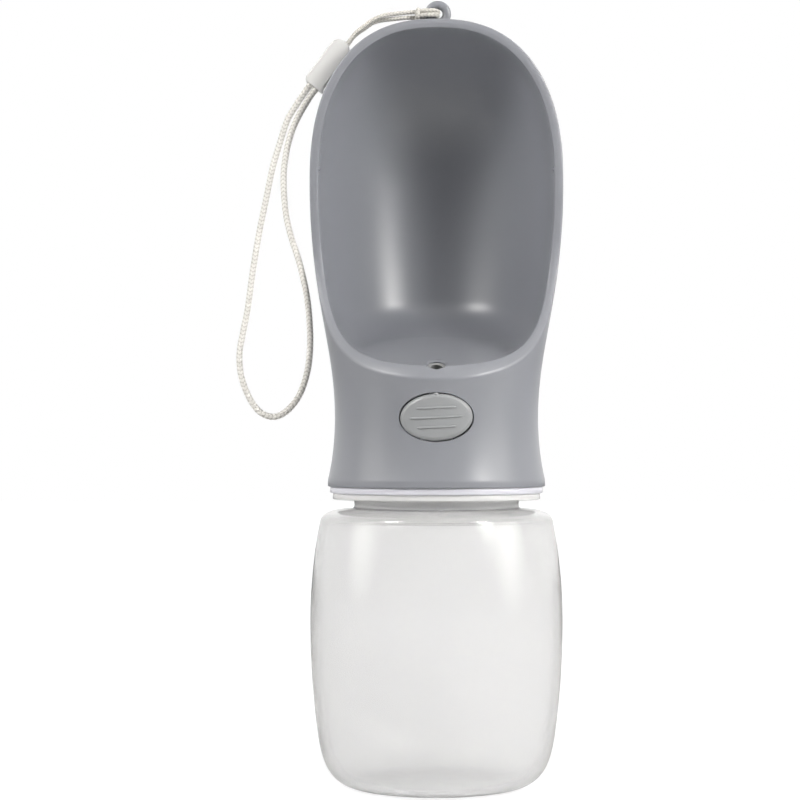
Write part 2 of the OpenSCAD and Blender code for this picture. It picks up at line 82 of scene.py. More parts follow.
def newMaterial(name):
    material = bpy.data.materials.new(name)
    material.use_nodes = True
    tree = material.node_tree
    tree.nodes.clear()
    return material, tree


# Camera: level with the bottle's shoulder, straight at the open front
view = {"distance": 655, "height": 98.6, "lens": 103.5, "shiftX": -0.0456, "shiftY": 0.05}
camera = bpy.data.objects.new("camera", bpy.data.cameras.new("camera"))
bpy.context.scene.collection.objects.link(camera)
camera.location = (0, -view["distance"] * mm, view["height"] * mm)
camera.rotation_euler = (math.radians(90), 0, 0)
camera.data.lens = view["lens"]
camera.data.sensor_width = 36
camera.data.shift_x = view["shiftX"]
camera.data.shift_y = view["shiftY"]
camera.data.clip_start = 0.01
bpy.context.scene.camera = camera
bpy.context.scene.view_settings.view_transform = "Standard"

# Softboxes stand around the bottle at an azimuth from the camera and an elevation, in degrees.
# Each is brightest at its centre and fades to its edges, so that gloss shows no hard frames.
softboxes = {
    "keyRight": {"azimuth": 51, "elevation": 28, "far": 800, "size": (440, 760), "power": 5.2, "fade": 3},
    "fillLeft": {"azimuth": -52, "elevation": 37, "far": 850, "size": (480, 560), "power": 4.4, "fade": 2.5},
    "sideRight": {"azimuth": 72, "elevation": 15, "far": 800, "size": (600, 650), "power": 2.4, "fade": 1},
    "sideLeft": {"azimuth": -74, "elevation": 15, "far": 800, "size": (600, 650), "power": 1.7, "fade": 1},
    "topFront": {"azimuth": 15, "elevation": 62, "far": 800, "size": (500, 500), "power": 0.3, "fade": 1},
}
warmWhite = (1, 0.985, 0.96)
aim = Vector((0, 0, 0.12))
for name, box in softboxes.items():
    lamp = bpy.data.lights.new(name, "AREA")
    lamp.shape = "RECTANGLE"
    lamp.size, lamp.size_y = (side * mm for side in box["size"])
    lamp.energy = box["power"]
    lamp.color = warmWhite
    lamp.use_nodes = True
    glass = lamp.node_tree
    glass.nodes.clear()
    where = addNode(glass, "NewGeometry")
    middle = addNode(glass, "VectorMath", {"operation": "SUBTRACT", 1: (0.5, 0.5, 0)},
                     {0: where.outputs["Parametric"]})
    far = addNode(glass, "VectorMath", {"operation": "LENGTH"}, {0: middle.outputs[0]})
    fade = addNode(glass, "MapRange", {"From Min": 0.5, "From Max": 0.0}, {"Value": far.outputs["Value"]})
    hot = addNode(glass, "Math", {"operation": "POWER", 1: box["fade"]}, {0: fade.outputs[0]})
    # the gain keeps the lamp's power what it says
    share = 2 / math.pi * (box["fade"] + 1) * (box["fade"] + 2)
    gain = addNode(glass, "Math", {"operation": "MULTIPLY", 1: share}, {0: hot.outputs[0]})
    shine = addNode(glass, "Emission", {"Color": (1, 1, 1, 1)}, {"Strength": gain.outputs[0]})
    addNode(glass, "OutputLight", links={"Surface": shine.outputs[0]})
    holder = bpy.data.objects.new(name, lamp)
    bpy.context.scene.collection.objects.link(holder)
    azimuth, elevation = math.radians(box["azimuth"]), math.radians(box["elevation"])
    away = Vector((
        math.sin(azimuth) * math.cos(elevation),
        -math.cos(azimuth) * math.cos(elevation),
        math.sin(elevation)
    ))
    holder.location = aim + away * box["far"] * mm
    holder.rotation_euler = (-away).to_track_quat("-Z", "Y").to_euler()

# A white sweep behind and dim surroundings towards the camera; glass sees white all round
room = {"white": 1.0, "cameraSide": 0.12, "ceiling": 1.1, "diffuse": 0.03}
world = bpy.data.worlds.new("studio")
world.use_nodes = True
bpy.context.scene.world = world
sky = world.node_tree
sky.nodes.clear()
direction = addNode(sky, "TexCoord")
split = addNode(sky, "SeparateXYZ", links={"Vector": direction.outputs["Generated"]})
depth = addNode(sky, "MapRange", {"From Min": -0.3, "From Max": 0.5, "To Min": room["cameraSide"],
                                  "To Max": room["white"]}, {"Value": split.outputs["Y"]})
above = addNode(sky, "MapRange", {"From Min": 0.0, "From Max": 0.7, "To Max": room["ceiling"]},
                {"Value": split.outputs["Z"]})
around = addNode(sky, "Math", {"operation": "ADD"}, {0: depth.outputs["Result"], 1: above.outputs["Result"]})
rays = addNode(sky, "LightPath")
strength = addNode(sky, "Mix", {"data_type": "FLOAT", 2: room["diffuse"]},
                   {0: rays.outputs["Is Glossy Ray"], 3: around.outputs[0]})
seen = addNode(sky, "Math", {"operation": "MAXIMUM"}, {0: rays.outputs["Is Camera Ray"],
                                                      1: rays.outputs["Is Transmission Ray"]})
backdrop = addNode(sky, "Mix", {"data_type": "FLOAT", 3: room["white"]},
                   {0: seen.outputs[0], 2: strength.outputs[0]})
glow = addNode(sky, "Background", {"Color": (1, 1, 1, 1)}, {"Strength": backdrop.outputs[0]})
addNode(sky, "OutputWorld", links={"Surface": glow.outputs[0]})

# The table: white paper that keeps a faint shadow near the bottle and brightens into the sweep further off
paper, tree = newMaterial("whitePaperSweep")
matt = addNode(tree, "BsdfDiffuse", {"Color": hexToLinear("#f4f4f4")})
where = addNode(tree, "TexCoord")
far = addNode(tree, "VectorMath", {"operation": "LENGTH"}, {0: where.outputs["Object"]})
lift = addNode(tree, "MapRange", {"From Min": 0.12, "From Max": 0.6, "To Min": 1.24, "To Max": 1.6},
               {"Value": far.outputs["Value"]})
shine = addNode(tree, "Emission", {"Color": (1, 1, 1, 1)}, {"Strength": lift.outputs[0]})
rays = addNode(tree, "LightPath")
seen = addNode(tree, "Math", {"operation": "MAXIMUM"}, {0: rays.outputs["Is Camera Ray"],
                                                       1: rays.outputs["Is Transmission Ray"]})
share = addNode(tree, "Math", {"operation": "MULTIPLY", 1: 0.7}, {0: seen.outputs[0]})
mixed = addNode(tree, "MixShader", links={0: share.outputs[0], 1: matt.outputs[0], 2: shine.outputs[0]})
addNode(tree, "OutputMaterial", links={"Surface": mixed.outputs[0]})
tableMesh = bpy.data.meshes.new("table")
tableMesh.from_pydata([(x, y, -0.0002) for x, y in ((-3, -3), (3, -3), (3, 3), (-3, 3))], [], [(0, 1, 2, 3)])
tableMesh.materials.append(paper)
table = bpy.data.objects.new("table", tableMesh)
bpy.context.scene.collection.objects.link(table)
table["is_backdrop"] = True
print("camera, lamps and table")


# A shell collects grids of points and the faces between them, and becomes one mesh
class Shell:
    def __init__(self):
        self.points, self.faces, self.count = [], [], 0

    def add(self, points):
        points = np.asarray(points, float)
        index = np.arange(self.count, self.count + points[..., 0].size).reshape(points.shape[:-1])
        self.points.append(points.reshape(-1, 3))
        self.count += index.size
        return index

    def cover(self, index, wrap=False):
        right = np.roll(index, -1, axis=1) if wrap else index[:, 1:]
        left = index if wrap else index[:, :-1]
        quads = np.stack([left[:-1], right[:-1], right[1:], left[1:]], axis=-1).reshape(-1, 4)
        faces = [tuple(dict.fromkeys(quad)) for quad in quads.tolist()]
        self.faces += [face for face in faces if len(face) > 2]

    def cap(self, ring, centre):
        middle = self.add([centre])
        self.cover(np.stack([ring, np.full(len(ring), middle[0])]), wrap=True)

    def make(self, name, material, sharp=40):
        mesh = bpy.data.meshes.new(name)
        mesh.from_pydata((np.concatenate(self.points) * mm).tolist(), [], self.faces)
        mesh.validate()
        return place(name, mesh, material, sharp)


def place(name, mesh, material, sharp=40):
    bm = bmesh.new()
    bm.from_mesh(mesh)
    bmesh.ops.remove_doubles(bm, verts=bm.verts, dist=1e-7)
    bmesh.ops.recalc_face_normals(bm, faces=bm.faces)
    bm.to_mesh(mesh)
    bm.free()
    mesh.polygons.foreach_set("use_smooth", [True] * len(mesh.polygons))
    mesh.set_sharp_from_angle(angle=math.radians(sharp))
    mesh.materials.append(material)
    obj = bpy.data.objects.new(name, mesh)
    bpy.context.scene.collection.objects.link(obj)
    return obj


def cut(obj, cutters, sharp=40):
    for cutter in cutters:
        change = obj.modifiers.new("cut", "BOOLEAN")
        change.operation = "DIFFERENCE"
        change.solver = "EXACT"
        change.object = cutter
    changed = obj.evaluated_get(bpy.context.evaluated_depsgraph_get())
    mesh = bpy.data.meshes.new_from_object(changed)
    obj.modifiers.clear()
    obj.data = mesh
    for cutter in cutters:
        bpy.data.objects.remove(cutter)
    mesh.polygons.foreach_set("use_smooth", [True] * len(mesh.polygons))
    mesh.set_sharp_from_angle(angle=math.radians(sharp))


def bezier(a, b, c, d, steps=40):
    t = np.linspace(0, 1, steps + 1)[:, None]
    a, b, c, d = (np.asarray(p, float) for p in (a, b, c, d))
    return (1 - t) ** 3 * a + 3 * (1 - t) ** 2 * t * b + 3 * (1 - t) * t * t * c + t ** 3 * d


def turned(profile, columns):
    angle = np.linspace(0, 2 * math.pi, columns, endpoint=False)
    r, z = np.asarray(profile, float).T
    return np.stack([np.outer(r, np.sin(angle)), -np.outer(r, np.cos(angle)),
                     np.outer(z, np.ones(columns))], axis=-1)


# Silky braided polyester: the crowns of the plaits keep the cord's own off-white, and the colour is painted
# darker in the grooves, a painted shade that follows the relief
def braidedPolyester(name, crown, paintedGrooveShade, fibrePitch, plaits):
    material, tree = newMaterial(name)
    unrolled = addNode(tree, "UVMap")
    along = addNode(tree, "SeparateXYZ", links={"Vector": unrolled.outputs["UV"]})
    height = addNode(tree, "Attribute", {"attribute_name": "relief"})
    mottle = addNode(tree, "TexNoise", {"Scale": 350.0, "Detail": 3.0})   # the tone wanders every 3 mm
    # painted shade: the colour runs from the crown colour down to the darker groove colour where the relief
    # is low
    ramp = addNode(tree, "ValToRGB", links={"Fac": height.outputs["Fac"]})
    ramp.color_ramp.elements[0].color = hexToLinear(paintedGrooveShade)
    ramp.color_ramp.elements[1].color = hexToLinear(crown)
    ramp.color_ramp.elements[0].position, ramp.color_ramp.elements[1].position = 0.05, 0.6
    soft = addNode(tree, "Mix", {"data_type": "RGBA", "blend_type": "MULTIPLY", 0: 0.25},
                   {6: ramp.outputs["Color"], 7: mottle.outputs["Fac"]})
    # single filaments lie about 0.15 mm apart; they are drawn up to twice as coarse, to show
    strands = addNode(tree, "Math", {"operation": "MULTIPLY", 1: 2 * math.pi / fibrePitch},
                      {0: along.outputs["Y"]})
    lean = addNode(tree, "Math", {"operation": "MULTIPLY", 1: 2 * math.pi * plaits * 3},
                   {0: along.outputs["X"]})
    both = addNode(tree, "Math", {"operation": "ADD"}, {0: strands.outputs[0], 1: lean.outputs[0]})
    wave = addNode(tree, "Math", {"operation": "SINE"}, {0: both.outputs[0]})
    bump = addNode(tree, "Bump", {"Strength": 0.35, "Distance": 0.00006}, {"Height": wave.outputs[0]})
    shader = addNode(tree, "BsdfPrincipled", {
        "Roughness": 0.62, "Sheen Weight": 0.35, "Sheen Roughness": 0.4, "IOR": 1.5
    }, {"Base Color": soft.outputs[2], "Normal": bump.outputs["Normal"]})
    addNode(tree, "OutputMaterial", links={"Surface": shader.outputs[0]})
    return material


# A smooth line through the route's points, resampled at even steps
def smoothRoute(route, step):
    p = np.asarray(route, float)
    p = np.vstack([p[0], p, p[-1]])
    t = np.linspace(0, 1, 40, endpoint=False)[:, None]
    spans = []
    for a, b, c, d in zip(p, p[1:], p[2:], p[3:]):
        spans.append(0.5 * (2 * b + (c - a) * t + (2 * a - 5 * b + 4 * c - d) * t ** 2
                            + (3 * b - a - 3 * c + d) * t ** 3))
    line = np.vstack(spans + [p[-1:]])
    travelled = np.concatenate([[0], np.cumsum(np.linalg.norm(np.diff(line, axis=0), axis=1))])
    even = np.linspace(0, travelled[-1], int(travelled[-1] / step) + 1)
    return np.stack([np.interp(even, travelled, line[:, i]) for i in range(3)], axis=1), even


# Sweeps a braided round section along the route: plaits zigzag round it, one stitch to each pitch
def braid(name, route, look, material):
    line, travelled = smoothRoute(route, look["pitch"] / 8)
    tangent = np.gradient(line, axis=0)
    tangent /= np.linalg.norm(tangent, axis=1)[:, None]
    side = np.cross(tangent[0], (0.3, 1, 0.2))
    sides = []
    for t in tangent:
        side = side - np.dot(side, t) * t
        side /= np.linalg.norm(side)
        sides.append(side)
    sides = np.array(sides)
    ups = np.cross(tangent, sides)
    u = np.arange(look["around"]) / look["around"]
    plait = (u * look["plaits"]) % 1
    zigzag = np.abs(plait * 2 - 1)
    stitch = np.abs(np.sin(math.pi * (travelled[:, None] / look["pitch"] + 0.5 * zigzag[None, :]))) ** 0.7
    seam = np.sin(math.pi * np.clip(zigzag, 0, 1)) ** 0.5
    relief = stitch * (0.55 + 0.45 * seam[None, :])
    radius = look["diameter"] / 2 * (1 - look["depth"] + look["depth"] * relief)
    taper = np.minimum(1, np.minimum(travelled, travelled[-1] - travelled) / (0.3 * look["diameter"]) + 0.5)
    radius = radius * taper[:, None]
    angle = 2 * math.pi * u
    ring = (line[:, None, :] + radius[..., None] * (np.cos(angle)[None, :, None] * sides[:, None, :]
                                                    + np.sin(angle)[None, :, None] * ups[:, None, :]))
    shell = Shell()
    index = shell.add(ring)
    shell.cover(index, wrap=True)
    shell.cap(index[0], line[0])
    shell.cap(index[-1], line[-1])
    mesh = bpy.data.meshes.new(name)
    mesh.from_pydata((np.concatenate(shell.points) * mm).tolist(), [], shell.faces)
    attribute = mesh.attributes.new("relief", "FLOAT", "POINT")
    attribute.data.foreach_set("value", np.concatenate([relief.ravel(), [0, 0]]))
    layer = mesh.uv_layers.new(name="UVMap")
    where = np.concatenate([np.stack(np.broadcast_arrays(u[None, :], travelled[:, None]), -1).reshape(-1, 2),
                            [[0, 0], [0, travelled[-1]]]])
    corners = np.zeros(len(mesh.loops), int)
    mesh.loops.foreach_get("vertex_index", corners)
    layer.data.foreach_set("uv", where[corners].ravel())
    return place(name, mesh, material, 180), line, travelled[-1]


# The wrist cord hangs from the clasp at the left flank and comes back up to it, 1.9 mm thick
wristLook = {"diameter": 1.9, "pitch": 1.15, "plaits": 4, "around": 24, "depth": 0.16, "length": 0.2133}
wristRoute = [
    [-32.77, 7, 202.18], [-34.58, 7, 199.79], [-36.38, 7, 197.39], [-39.99, 6.6, 191.18],
    [-42.09, 6.2, 185.8], [-43.4, 5.7, 179.7], [-43.9, 5.1, 173.1], [-43.3, 4.4, 164.4],
    [-41.8, 3.7, 157.3], [-39.2, 2.9, 149.2], [-37.1, 2, 140.1], [-36.2, 1.1, 132.1], [-36, 0, 125],
    [-36.8, 0, 118], [-39, 0, 111.5], [-42.5, 0, 107], [-46.3, 0, 105.2], [-50.3, 0, 106.6],
    [-53.4, 0, 110.8], [-55.6, 0, 116.8], [-56.1, 0, 123], [-55.1, 0.8, 129.5], [-53.9, 1.6, 136.1],
    [-52.6, 2.6, 146.2], [-50.9, 3.7, 157.3], [-49.1, 4.5, 166.5], [-47.2, 5.4, 176.1],
    [-45.38, 5.9, 182.68], [-43.12, 6.5, 189.99], [-40.75, 6.8, 194.35], [-37.63, 7, 199.09],
    [-35.75, 7, 201.56], [-33.72, 7, 204.41]
]
wovenWrist = braidedPolyester("wovenPolyesterCord", "#e9e7e2", "#a9a59e", 0.3, 4)
wristCord, wristLine, wristLength = braid("wristCord", wristRoute, wristLook, wovenWrist)
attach(wristCord, "head")
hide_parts("wrist_strap")

# The thin string goes from the clasp over the cup's top, round the eyelet and back, 1.3 mm thick
stringLook = {"diameter": 1.3, "pitch": 0.95, "plaits": 4, "around": 20, "depth": 0.18, "length": 0.0667}
stringRoute = [
    [-27.38, 6.25, 210.77], [-25.65, 6.25, 212.47], [-24.34, 6.25, 214.18], [-22.9, 6.25, 215.87],
    [-21, 6.25, 217.37], [-18.41, 6, 219.22], [-15.18, 5.85, 220.55], [-11.96, 5.8, 221.03],
    [-8.8, 5.75, 221.39], [-5.7, 6, 221.6], [-3.2, 5.2, 221.9], [-1.2, 5, 221.9], [0.2, 5.7, 221.75],
    [0.5, 7, 221.65], [0.2, 8.4, 221.5], [-1.2, 9.25, 221.2], [-3.2, 9, 220.9], [-5.7, 7.2, 220.2],
    [-8.8, 6.2, 219.98], [-11.94, 6.5, 219.72], [-15.06, 6.9, 219.47], [-18.21, 7.3, 218.77],
    [-20.76, 7.6, 217.09], [-22.75, 7.72, 215.79], [-24.31, 7.75, 214.29], [-25.65, 7.75, 212.47],
    [-27.38, 7.75, 210.77]
]
wovenString = braidedPolyester("braidedPolyesterString", "#dedbd4", "#a5a19a", 0.25, 4)
thinString, stringLine, stringLength = braid("thinString", stringRoute, stringLook, wovenString)
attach(thinString, "head")
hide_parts("lanyard_string")

# Beside the eyelet a bight wraps the string crosswise, and a second turn of it goes through the eyelet
hitchRoute = [
    [-5.2, 5.3, 220.4], [-3, 4.85, 220.55], [-0.9, 4.95, 220.65], [0.1, 5.7, 220.75], [0.25, 7, 220.75],
    [-0.1, 8.5, 220.6], [-1.4, 9.25, 220.3], [-3.3, 8.9, 220], [-4.9, 7.9, 219.7]
]
wrapLook = {"centre": (-5.4, 6.35, 220.85), "high": 1.4, "deep": 1.7, "lean": 0.35}
around = np.linspace(0.1, 1.98 * math.pi, 22)
wrapRoute = np.stack([wrapLook["centre"][0] + wrapLook["lean"] * (around / math.pi - 1) + 0 * around,
                      wrapLook["centre"][1] - wrapLook["deep"] * np.cos(around - math.pi),
                      wrapLook["centre"][2] + wrapLook["high"] * np.sin(around - math.pi)], axis=1)
stringHitch = braid("stringHitch", hitchRoute, dict(stringLook, diameter=1.5), wovenString)[0]
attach(stringHitch, "head")
stringWrap = braid("stringWrap", wrapRoute, dict(stringLook, diameter=1.4), wovenString)[0]
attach(stringWrap, "head")
print("cords", round(wristLength, 1), round(stringLength, 1))


# Outline of the cup and housing, in mm: height and radius, one wall inside it, and the rim's sweep
cup = {
    "bottom": 85.4, "bottomRadius": 30.9, "straightEdge": 1.8, "waistRadius": 28.9, "waistHeight": 19.6,
    "cupRadius": 36.2, "widestHeight": 86.2, "height": 133.3, "topPower": 2.4, "wall": 2.6,
    "sweepRadius": 38, "sweepHeight": 70.2, "rimOuter": 0.75, "rimInner": 0.55, "rimCrown": 0.12,
    "lipDrop": 3.4, "lipDropPower": 1.8, "lipReach": 30.5, "middleHeight": 79.6,
    "floorHeight": 33.2, "floorSlope": 12, "floorRound": 9,
    "boreRadius": 27.2, "deckTop": 97.6, "outletRadius": 2.4, "outletAhead": 23,
    "around": 88, "rimSteps": 150, "sideRows": 64, "innerRings": 72, "rimRows": 6
}
bottomZ = cup["bottom"]
waistZ, widestZ, topZ = (bottomZ + cup[k] for k in ("waistHeight", "widestHeight", "height"))
sweepZ = bottomZ + cup["sweepHeight"]
slope = math.radians(cup["floorSlope"])
edgeZ = bottomZ + cup["straightEdge"]
flare = waistZ - edgeZ
rise = widestZ - waistZ
skinTable = np.vstack([
    [[cup["bottomRadius"], bottomZ]],
    bezier((cup["bottomRadius"], edgeZ), (cup["bottomRadius"] - 1.2, edgeZ + 0.28 * flare),
           (cup["waistRadius"], edgeZ + 0.6 * flare), (cup["waistRadius"], waistZ)),
    bezier((cup["waistRadius"], waistZ), (cup["waistRadius"], waistZ + 0.31 * rise),
           (cup["cupRadius"], waistZ + 0.53 * rise), (cup["cupRadius"], widestZ))[1:]
])


def domeRadius(z, radius, top):
    s = np.clip((np.asarray(z, float) - widestZ) / (top - widestZ), 0, 1)
    return radius * (1 - s ** cup["topPower"]) ** (1 / cup["topPower"])


def skinRadius(z):
    return np.where(np.asarray(z) < widestZ, np.interp(z, skinTable[:, 1], skinTable[:, 0]),
                    domeRadius(z, cup["cupRadius"], topZ))


def domeHeight(r):
    power = cup["topPower"]
    return widestZ + (topZ - widestZ) * (1 - (r / cup["cupRadius"]) ** power) ** (1 / power)


def sweepAhead(z):
    down = np.clip(sweepZ - np.asarray(z, float), 0, cup["sweepRadius"])
    return np.sqrt(cup["sweepRadius"] ** 2 - down ** 2) - cup["sweepRadius"]


def sweepHeightAt(y):
    across = np.clip(np.asarray(y, float) + cup["sweepRadius"], 0, cup["sweepRadius"])
    return sweepZ - np.sqrt(cup["sweepRadius"] ** 2 - across ** 2)


lipAhead = float(skinRadius(bottomZ + cup["floorHeight"])) - cup["wall"]


def floorHeightAt(y):
    return bottomZ + cup["floorHeight"] + (y + lipAhead) * math.tan(slope)


# Below zero inside the cup's hollow: its wall and its floor, with a round between them
def hollow(p):
    x, y, z = p[..., 0], p[..., 1], p[..., 2]
    r = np.hypot(x, y)
    innerTop = cup["cupRadius"] - cup["wall"]
    s = np.maximum(z - widestZ, 0) / (topZ - cup["wall"] - widestZ)
    dome = ((r / innerTop) ** cup["topPower"] + s ** cup["topPower"]) ** (1 / cup["topPower"]) - 1
    tube = r - np.interp(z, skinTable[:, 1], skinTable[:, 0]) + cup["wall"]
    wall = np.where(z > widestZ, dome * innerTop, tube)
    floor = (floorHeightAt(y) - z) * math.cos(slope)
    room = 0.95 * (sweepHeightAt(np.minimum(y, 0)) - floorHeightAt(y))
    corner = np.clip(np.where(y < 0, room, cup["floorRound"]), 0.5, cup["floorRound"])
    outside = np.hypot(np.maximum(wall + corner, 0), np.maximum(floor + corner, 0))
    return outside + np.minimum(np.maximum(wall, floor) + corner, 0) - corner


def findEdge(pointAt, low, high, steps=50):
    for _ in range(steps):
        middle = (low + high) / 2
        inside = hollow(pointAt(middle)) < 0
        low, high = np.where(inside, middle, low), np.where(inside, high, middle)
    return pointAt((low + high) / 2)


# Inner edge of the rim, from the lip at the bottom to the top
turn = np.linspace(math.pi, 0, cup["rimSteps"] + 1)
middleZ = bottomZ + cup["middleHeight"]


def rimPoint(far):
    z = middleZ + far * np.cos(turn)
    return np.stack([far * np.sin(turn), sweepAhead(z), z], axis=-1)


# it lies between 4 and 60 mm from the middle of the mouth
innerEdge = findEdge(rimPoint, np.full(turn.shape, 4.0), np.full(turn.shape, 60.0))

# Outer edge of the rim: a fine line on the skin, of which each inner point takes the nearest
s = np.sin(np.linspace(math.pi / 2, 0, 900))
upper = np.stack([domeRadius(widestZ + (topZ - widestZ) * s, cup["cupRadius"], topZ), 0 * s,
                  widestZ + (topZ - widestZ) * s], axis=-1)
z = np.linspace(widestZ, sweepZ, 200)[1:]
middle = np.stack([skinRadius(z), 0 * z, z], axis=-1)
a = np.linspace(math.pi / 2, 0, 6000)[1:]
y = -cup["sweepRadius"] * (1 - np.sin(a))
z = sweepHeightAt(y) - cup["lipDrop"] * (np.abs(y) / cup["lipReach"]) ** cup["lipDropPower"]
square = skinRadius(z) ** 2 - y ** 2
keep = np.cumsum(square < 0) == 0
lower = np.stack([np.sqrt(np.maximum(square, 0)), y, z], axis=-1)[keep]
lower[-1, 0] = 0
outerLine = np.vstack([upper, middle, lower])
nearest = np.argmin(np.linalg.norm(innerEdge[:, None, :] - outerLine[None, ::3, :], axis=-1), axis=1) * 3
outerEdge = outerLine[nearest]
outerEdge[0], outerEdge[-1] = outerLine[-1], outerLine[0]
along = np.gradient(outerEdge, axis=0)
along /= np.linalg.norm(along, axis=1)[:, None]


def skinNormal(p):
    r = np.hypot(p[:, 0], p[:, 1])
    lean = (skinRadius(p[:, 2] + 0.05) - skinRadius(p[:, 2] - 0.05)) / 0.1
    s = np.clip((p[:, 2] - widestZ) / (topZ - widestZ), 0, 1)
    power = cup["topPower"]
    flat = (topZ - widestZ) / cup["cupRadius"] * (r / cup["cupRadius"]) ** (power - 1)
    level = np.where(p[:, 2] > widestZ, flat, 1)
    steep = np.where(p[:, 2] > widestZ, s ** (power - 1), -lean)
    r = np.maximum(r, 1e-6)
    normal = np.stack([level * p[:, 0] / r, level * p[:, 1] / r, steep], axis=-1)
    return normal / np.linalg.norm(normal, axis=1)[:, None]


def ontoSkin(p):
    p = p.copy()
    r = np.hypot(p[:, 0], p[:, 1])
    high = p[:, 2] > widestZ + 0.7 * (topZ - widestZ)
    p[high, 2] = domeHeight(r[high])
    scale = skinRadius(p[~high, 2]) / r[~high]
    p[~high, 0] *= scale
    p[~high, 1] *= scale
    return p


inward = np.cross(skinNormal(outerEdge), along)
inward[-1] = (0, 1, 0)
inward *= np.sign(np.sum(inward * [0, 1, -0.8], axis=1))[:, None]
skinEdge = ontoSkin(outerEdge + cup["rimOuter"] * inward)
skinEdge[[0, -1], 0] = 0

# Rays from a point in the hollow find its surface, from the rim round to the middle of the back
eye = np.array([0, -4, 160.0])
back = np.array([0, 1.0, 0.02])
back /= np.linalg.norm(back)


def rays(toward, share):
    toward = toward / np.linalg.norm(toward, axis=-1, keepdims=True)
    wide = np.arccos(np.clip(toward @ back, -1, 1))[..., None]
    return (np.sin((1 - share) * wide) * toward + np.sin(share * wide) * back) / np.sin(wide)


def onHollow(way):
    near, far = np.full(way.shape[:-1], 1.0), np.full(way.shape[:-1], 80.0)
    return findEdge(lambda reach: eye + reach[..., None] * way, near, far)


share = np.full((len(innerEdge), 1), 0.01)
for _ in range(4):
    near = onHollow(rays(innerEdge - eye, share))
    share = share * cup["rimInner"] / np.linalg.norm(near - innerEdge, axis=1)[:, None]
bowlEdge = onHollow(rays(innerEdge - eye, share))
bowlEdge[[0, -1], 0] = 0


def bothSides(rightSide):
    left = rightSide[..., -2:0:-1, :] * [-1, 1, 1]
    return np.concatenate([rightSide, left], axis=-2)


housing = Shell()
# the rim: a faintly crowned face, with a small round to the skin and a smaller one to the bowl
faceWay = (innerEdge - outerEdge) / np.linalg.norm(innerEdge - outerEdge, axis=1)[:, None]
faceOut = np.cross(along, faceWay)
faceOut *= np.sign(faceOut @ [0, -1, 0.3])[:, None]
faceStart, faceEnd = outerEdge + cup["rimOuter"] * faceWay, innerEdge - cup["rimInner"] * faceWay
t = np.linspace(0, 1, cup["rimRows"] + 1)[:, None, None]
outerRound = (1 - t) ** 2 * skinEdge + 2 * (1 - t) * t * outerEdge + t ** 2 * faceStart
innerRound = (1 - t) ** 2 * faceEnd + 2 * (1 - t) * t * innerEdge + t ** 2 * bowlEdge
t = np.array([0.25, 0.5, 0.75])[:, None, None]
face = faceStart + t * (faceEnd - faceStart) + 4 * t * (1 - t) * cup["rimCrown"] * faceOut
rim = housing.add(bothSides(np.concatenate([outerRound, face, innerRound])))
housing.cover(rim, wrap=True)
# the bowl
ring = []
for share in np.linspace(0, 1, cup["innerRings"] + 1)[1:-1]:
    ring.append(onHollow(rays(bothSides(bowlEdge) - eye, share)))
bowl = housing.add(np.array(ring))
housing.cover(np.vstack([rim[-1:], bowl]), wrap=True)
housing.cap(bowl[-1], onHollow(back[None, :])[0])
# the skin's front columns end at the rim, its back columns at the rim's sweep, and rows close the dome
steps = cup["rimSteps"]
joint = int(np.argmin(np.abs(skinEdge[:, 2] - sweepZ)))
theta = np.arctan2(skinEdge[:, 0], -skinEdge[:, 1])
around = cup["around"]
backTheta = np.linspace(theta[joint], 2 * math.pi - theta[joint], around + 1)[1:-1]
columnTheta = np.concatenate([theta[:joint + 1], backTheta, 2 * math.pi - theta[joint:0:-1]])
columnTop = np.concatenate([skinEdge[:joint + 1, 2], np.full(around - 1, skinEdge[joint, 2]),
                            skinEdge[joint:0:-1, 2]])


def wrapped(radius, angle, z):
    radius, angle, z = np.broadcast_arrays(radius, angle, z)
    return np.stack([radius * np.sin(angle), -radius * np.cos(angle), z], axis=-1)


share = np.linspace(0, 1, cup["sideRows"] + 1)[:-1, None]
low = bottomZ + 0.4
height = low + share * (columnTop - low)
side = housing.add(wrapped(skinRadius(height), columnTheta, height))
top = housing.add(wrapped(skinRadius(columnTop[joint + 1:joint + around]), backTheta,
                          columnTop[joint + 1:joint + around]))
crown = np.concatenate([rim[0, :joint + 1], top, rim[0, -joint:]])
housing.cover(np.vstack([side, crown]), wrap=True)
rows = [crown[joint:joint + around + 1]]
for k in range(joint + 1, steps):
    arc = np.linspace(theta[k], 2 * math.pi - theta[k], around + 1)[1:-1]
    inner = housing.add(wrapped(math.hypot(*skinEdge[k, :2]), arc, skinEdge[k, 2]))
    rows.append(np.concatenate([[rim[0, k]], inner, [rim[0, -k]]]))
rows.append(np.full(around + 1, rim[0, steps]))
housing.cover(np.array(rows))
# underneath: rounded edge, bore round the sleeve, deck step, inner wall and the floor's underside
wall = cup["wall"]
under = [(cup["bottomRadius"] - 0.12, bottomZ + 0.12), (cup["bottomRadius"] - 0.4, bottomZ),
         (cup["boreRadius"] + 0.3, bottomZ), (cup["boreRadius"], bottomZ + 0.3),
         (cup["boreRadius"], cup["deckTop"]), (float(skinRadius(cup["deckTop"])) - wall, cup["deckTop"])]
loops = [side[0]]
for r, z in under:
    loops.append(housing.add(wrapped(r, columnTheta, z)))
